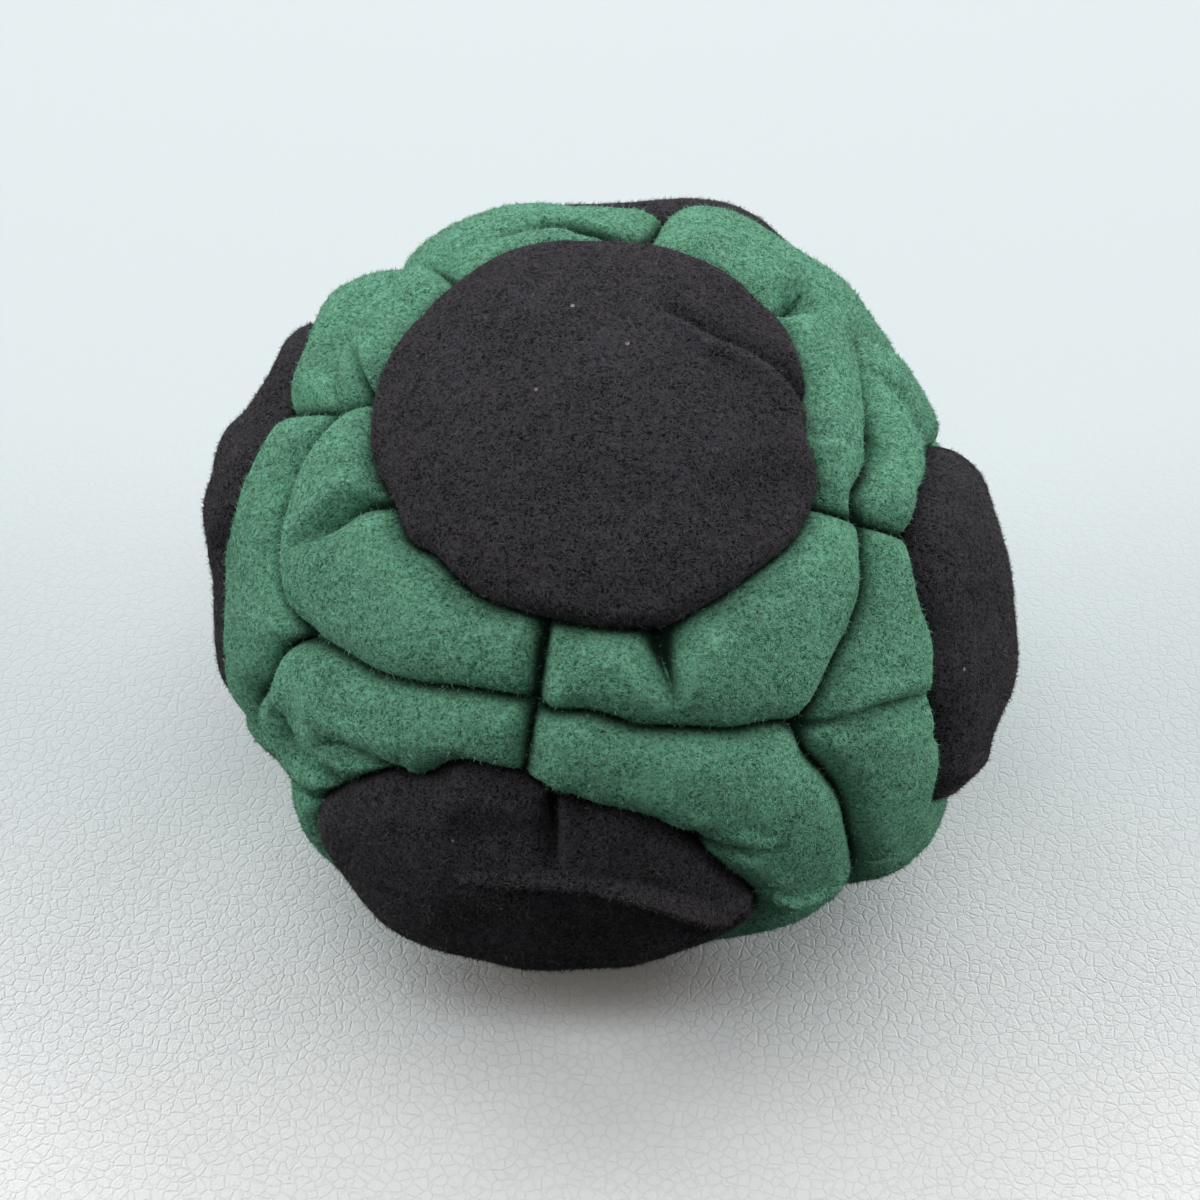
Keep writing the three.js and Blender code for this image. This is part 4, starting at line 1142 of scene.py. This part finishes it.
def makeLining(pole):
    ripple = lambda spots, size, seed: unevenness(spots * ball["halfWidth"], size, seed)
    weave = lambda spots: 0.06 * ripple(spots, 2.4, 3) + 0.02 * ripple(spots, 0.6, 4)
    fromPole = lambda spots: np.arccos(np.clip(spots @ pole, -1, 1))
    hem = lambda spots: weave(spots) - filling["hem"] * bell(fromPole(spots) - filling["mouth"], 0.06)
    closed = lambda index: np.concatenate([index, index[..., :1]], -1)
    shell = Shell()
    outside = shell.add(fillingRows(pole, 0, weave), 0.0)
    inside = shell.add(fillingRows(pole, filling["cloth"], hem), 0.0)
    far = shell.add(np.concatenate([onePlace(-pole, 0), onePlace(-pole, filling["cloth"])]), 0.0)
    shell.join(closed(outside))
    shell.join(closed(inside), flip=True)
    shell.join(closed(np.stack([inside[0], outside[0]])))
    shell.fan(far[0], outside[-1], flip=True)
    shell.fan(far[1], inside[-1])
    return shell.make("lining_bag", linerMaterial)


def makeSand(pole):
    grains = lambda spots: -0.05 + 0.05 * unevenness(spots * ball["halfWidth"], 0.45, 8)
    closed = lambda index: np.concatenate([index, index[..., :1]], -1)
    under = filling["cloth"] + filling["hem"] * 0.2 + filling["gap"]
    shell = Shell()
    rows = shell.add(fillingRows(pole, under, grains), 0.0)
    ends = shell.add(np.concatenate([onePlace(pole, under), onePlace(-pole, under)]), 0.0)
    shell.join(closed(rows))
    shell.fan(ends[0], rows[0])
    shell.fan(ends[1], rows[-1], flip=True)
    return shell.make("sand_filling", sandMaterial)


mouthPole = next(seam["middle"] for seam in seams if seam["name"] == "bottom_back")
lining, sand = makeLining(mouthPole), makeSand(mouthPole)
dress(lining, "inner_liner")
dress(sand, "sand_fill")
print("made the lining and the sand")

# Floor, lights and camera


def addCamera():
    data = bpy.data.cameras.new("camera")
    distance = photo["distance"] * ball["halfWidth"]
    frameWidth = photo["size"] / photo["radius"] * ball["halfWidth"]
    data.sensor_width = 36
    data.lens = data.sensor_width * distance / frameWidth
    half = photo["size"] / 2
    data.shift_x = (half - photo["centre"][0]) / photo["size"]
    data.shift_y = (photo["centre"][1] - half) / photo["size"]
    data.clip_start, data.clip_end = 0.01, 10
    camera = bpy.data.objects.new("camera", data)
    bpy.context.scene.collection.objects.link(camera)
    middle = np.array([0, 0, ball["restHeight"]])
    camera.location = (middle + towardsViewer * distance) * mm
    camera.rotation_euler = (math.pi / 2 - photo["elevation"], 0, 0)
    bpy.context.scene.camera = camera


addCamera()

# Pebbled artificial leather: pale, slightly blue, its grain clearer near the viewer, and painted paler near
# the viewer, painted light that lifts the ball's shadow in front; where the bag rests, a brown-tinted painted
# contact shadow. What other rays see of it is darker than what the camera sees, so that it adds little light
# from below.
floorLook = {
    "name": "pale_grained_artificial_leather",
    # far to near: painted light, paler towards the viewer to lift the ball's shadow in front
    "far": "#dae3e5",
    "near": "#fcfefe",
    "creaseShare": 0.05,
    "shade": "#4c5051",
    "cell": 0.8,
    "creaseWidth": 0.1,
    "pores": 0.2,
    # painted contact shadow where the bag rests, tinted brown
    "contactShadow": "#7a5f4c",
    "contactShadowSpot": (-0.0015, -0.0165, 0.0),  # metres, as is the next
    "contactShadowSize": (0.0095, 0.0035),
    "contactShadowShare": 0.6,
    "bumpHeight": 0.035,
    "size": 1.5,  # metres from the middle to each edge
}


def makeFloor():
    material = bpy.data.materials.new(floorLook["name"])
    material.use_nodes = True
    tree = material.node_tree
    shader = tree.nodes["Principled BSDF"]
    spot = addNode(tree, "ShaderNodeTexCoord").outputs["Object"]
    bend = addNode(tree, "ShaderNodeTexNoise", Vector=spot, Scale=1 / (1.3 * mm), Detail=2.0).outputs["Color"]
    moved = addNode(
        tree, "ShaderNodeVectorMath", {"operation": "MULTIPLY_ADD"}, n0=bend, n1=(0.7 * mm,) * 3, n2=spot
    ).outputs[0]
    toCrease = addNode(
        tree, "ShaderNodeTexVoronoi", {"feature": "DISTANCE_TO_EDGE"}, Vector=moved,
        Scale=1 / (floorLook["cell"] * mm),
    ).outputs["Distance"]
    width = floorLook["creaseWidth"] / floorLook["cell"]
    cells = addNode(
        tree, "ShaderNodeMapRange", {"interpolation_type": "SMOOTHSTEP"}, Value=toCrease,
        From_Min=0.0, From_Max=width,
    ).outputs[0]
    farther = addNode(tree, "ShaderNodeSeparateXYZ", n0=spot).outputs["Y"]
    near = addNode(
        tree, "ShaderNodeMapRange", Value=farther, From_Min=0.04, From_Max=-0.02, To_Min=0.08, To_Max=1.0
    ).outputs[0]
    pores = addNode(
        tree, "ShaderNodeTexNoise", Vector=spot, Scale=1 / (floorLook["pores"] * mm), Detail=2.0
    ).outputs["Fac"]
    rough = addNode(
        tree, "ShaderNodeMath", {"operation": "MULTIPLY_ADD"}, n0=pores, n1=2.0, n2=cells
    ).outputs[0]
    bump = addNode(
        tree, "ShaderNodeBump", Strength=near, Distance=floorLook["bumpHeight"] * mm, Height=rough
    ).outputs["Normal"]
    tree.links.new(bump, shader.inputs["Normal"])
    bare = addNode(tree, "ShaderNodeMath", {"operation": "SUBTRACT"}, n0=1.0, n1=cells).outputs[0]
    bareNear = addNode(tree, "ShaderNodeMath", {"operation": "MULTIPLY"}, n0=bare, n1=near).outputs[0]
    bright = addNode(
        tree, "ShaderNodeMath", {"operation": "MULTIPLY_ADD"}, n0=bareNear,
        n1=-floorLook["creaseShare"], n2=1.0,
    ).outputs[0]
    # Painted light: the floor's colour turns paler towards the viewer, lifting the ball's shadow in front
    paintedFrontLight = addNode(
        tree, "ShaderNodeMapRange", {"interpolation_type": "SMOOTHSTEP"}, Value=farther,
        From_Min=0.01, From_Max=-0.03,
    ).outputs[0]
    plain = addNode(
        tree, "ShaderNodeMix", {"data_type": "RGBA"}, n0=paintedFrontLight, n6=colour(floorLook["far"]),
        n7=colour(floorLook["near"]),
    ).outputs[2]
    grained = addNode(tree, "ShaderNodeVectorMath", {"operation": "SCALE"}, n0=plain, Scale=bright).outputs[0]
    # Painted contact shadow: a soft brown-tinted dark patch on the floor where the bag rests
    fromSpot = addNode(
        tree, "ShaderNodeVectorMath", {"operation": "SUBTRACT"}, n0=spot, n1=floorLook["contactShadowSpot"]
    ).outputs[0]
    size = (*floorLook["contactShadowSize"], 1)
    fromSpot = addNode(tree, "ShaderNodeVectorMath", {"operation": "DIVIDE"}, n0=fromSpot, n1=size).outputs[0]
    away = addNode(tree, "ShaderNodeVectorMath", {"operation": "LENGTH"}, n0=fromSpot).outputs["Value"]
    contactShadow = addNode(
        tree, "ShaderNodeMapRange", {"interpolation_type": "SMOOTHSTEP"}, Value=away, From_Min=1.6,
        From_Max=0.3, To_Max=floorLook["contactShadowShare"],
    ).outputs[0]
    seen = addNode(
        tree, "ShaderNodeMix", {"data_type": "RGBA"}, n0=contactShadow, n6=grained, n7=colour(floorLook["contactShadow"])
    ).outputs[2]
    path = addNode(tree, "ShaderNodeLightPath")
    shade = addNode(
        tree, "ShaderNodeMix", {"data_type": "RGBA"}, n0=path.outputs["Is Camera Ray"],
        n6=colour(floorLook["shade"]), n7=seen,
    ).outputs[2]
    tree.links.new(shade, shader.inputs["Base Color"])
    shader.inputs["Roughness"].default_value = 0.6
    shader.inputs["Specular IOR Level"].default_value = 0.2
    mesh = bpy.data.meshes.new("floor")
    size = floorLook["size"]
    points = [(-size, -size, 0), (size, -size, 0), (size, size, 0), (-size, size, 0)]
    mesh.from_pydata(points, [], [(0, 1, 2, 3)])
    mesh.materials.append(material)
    floor = bpy.data.objects.new("floor", mesh)
    bpy.context.scene.collection.objects.link(floor)


makeFloor()

studio = {
    "world": "#eaf2f4",
    "worldStrength": 0.05,
    "boxes": {  # place, size and power of each softbox
        "softbox_top": ((0, 0, 1.3), 1.1, 2.4),
        "softbox_left": ((-1.22, 0.1, 0.45), 0.8, 9.2),
        "softbox_right": ((1.22, 0.1, 0.45), 0.8, 8.8),
        "softbox_back_left": ((-0.65, 0.65, 0.92), 0.8, 3.9),
        "softbox_back_right": ((0.65, 0.65, 0.92), 0.8, 4.0),
        "softbox_back": ((0, 1.2, 0.5), 0.8, 6.6),
        "softbox_front": ((0, -0.65, 1.12), 0.8, 2.4),
    },
}


def addStudio():
    world = bpy.data.worlds.new("studio")
    world.use_nodes = True
    tree = world.node_tree
    tree.nodes.clear()
    path = addNode(tree, "ShaderNodeLightPath")
    light = addNode(
        tree, "ShaderNodeBackground", Color=colour(studio["world"]), Strength=studio["worldStrength"]
    ).outputs[0]
    seen = addNode(tree, "ShaderNodeBackground", Color=colour(studio["world"]), Strength=1.0).outputs[0]
    mixed = addNode(
        tree, "ShaderNodeMixShader", n0=path.outputs["Is Camera Ray"], n1=light, n2=seen
    ).outputs[0]
    addNode(tree, "ShaderNodeOutputWorld", n0=mixed)
    bpy.context.scene.world = world
    for name, (spot, size, power) in studio["boxes"].items():
        lamp = bpy.data.lights.new(name, "AREA")
        lamp.shape, lamp.size, lamp.energy = "DISK", size, power
        box = bpy.data.objects.new(name, lamp)
        bpy.context.scene.collection.objects.link(box)
        box.location = spot
        aim = unit(np.array([0, 0, ball["restHeight"] * mm]) - np.array(spot))
        box.rotation_euler = (math.acos(-aim[2]), 0, math.atan2(aim[0], -aim[1]) + math.pi)


addStudio()
bpy.context.scene.view_settings.view_transform = "Standard"
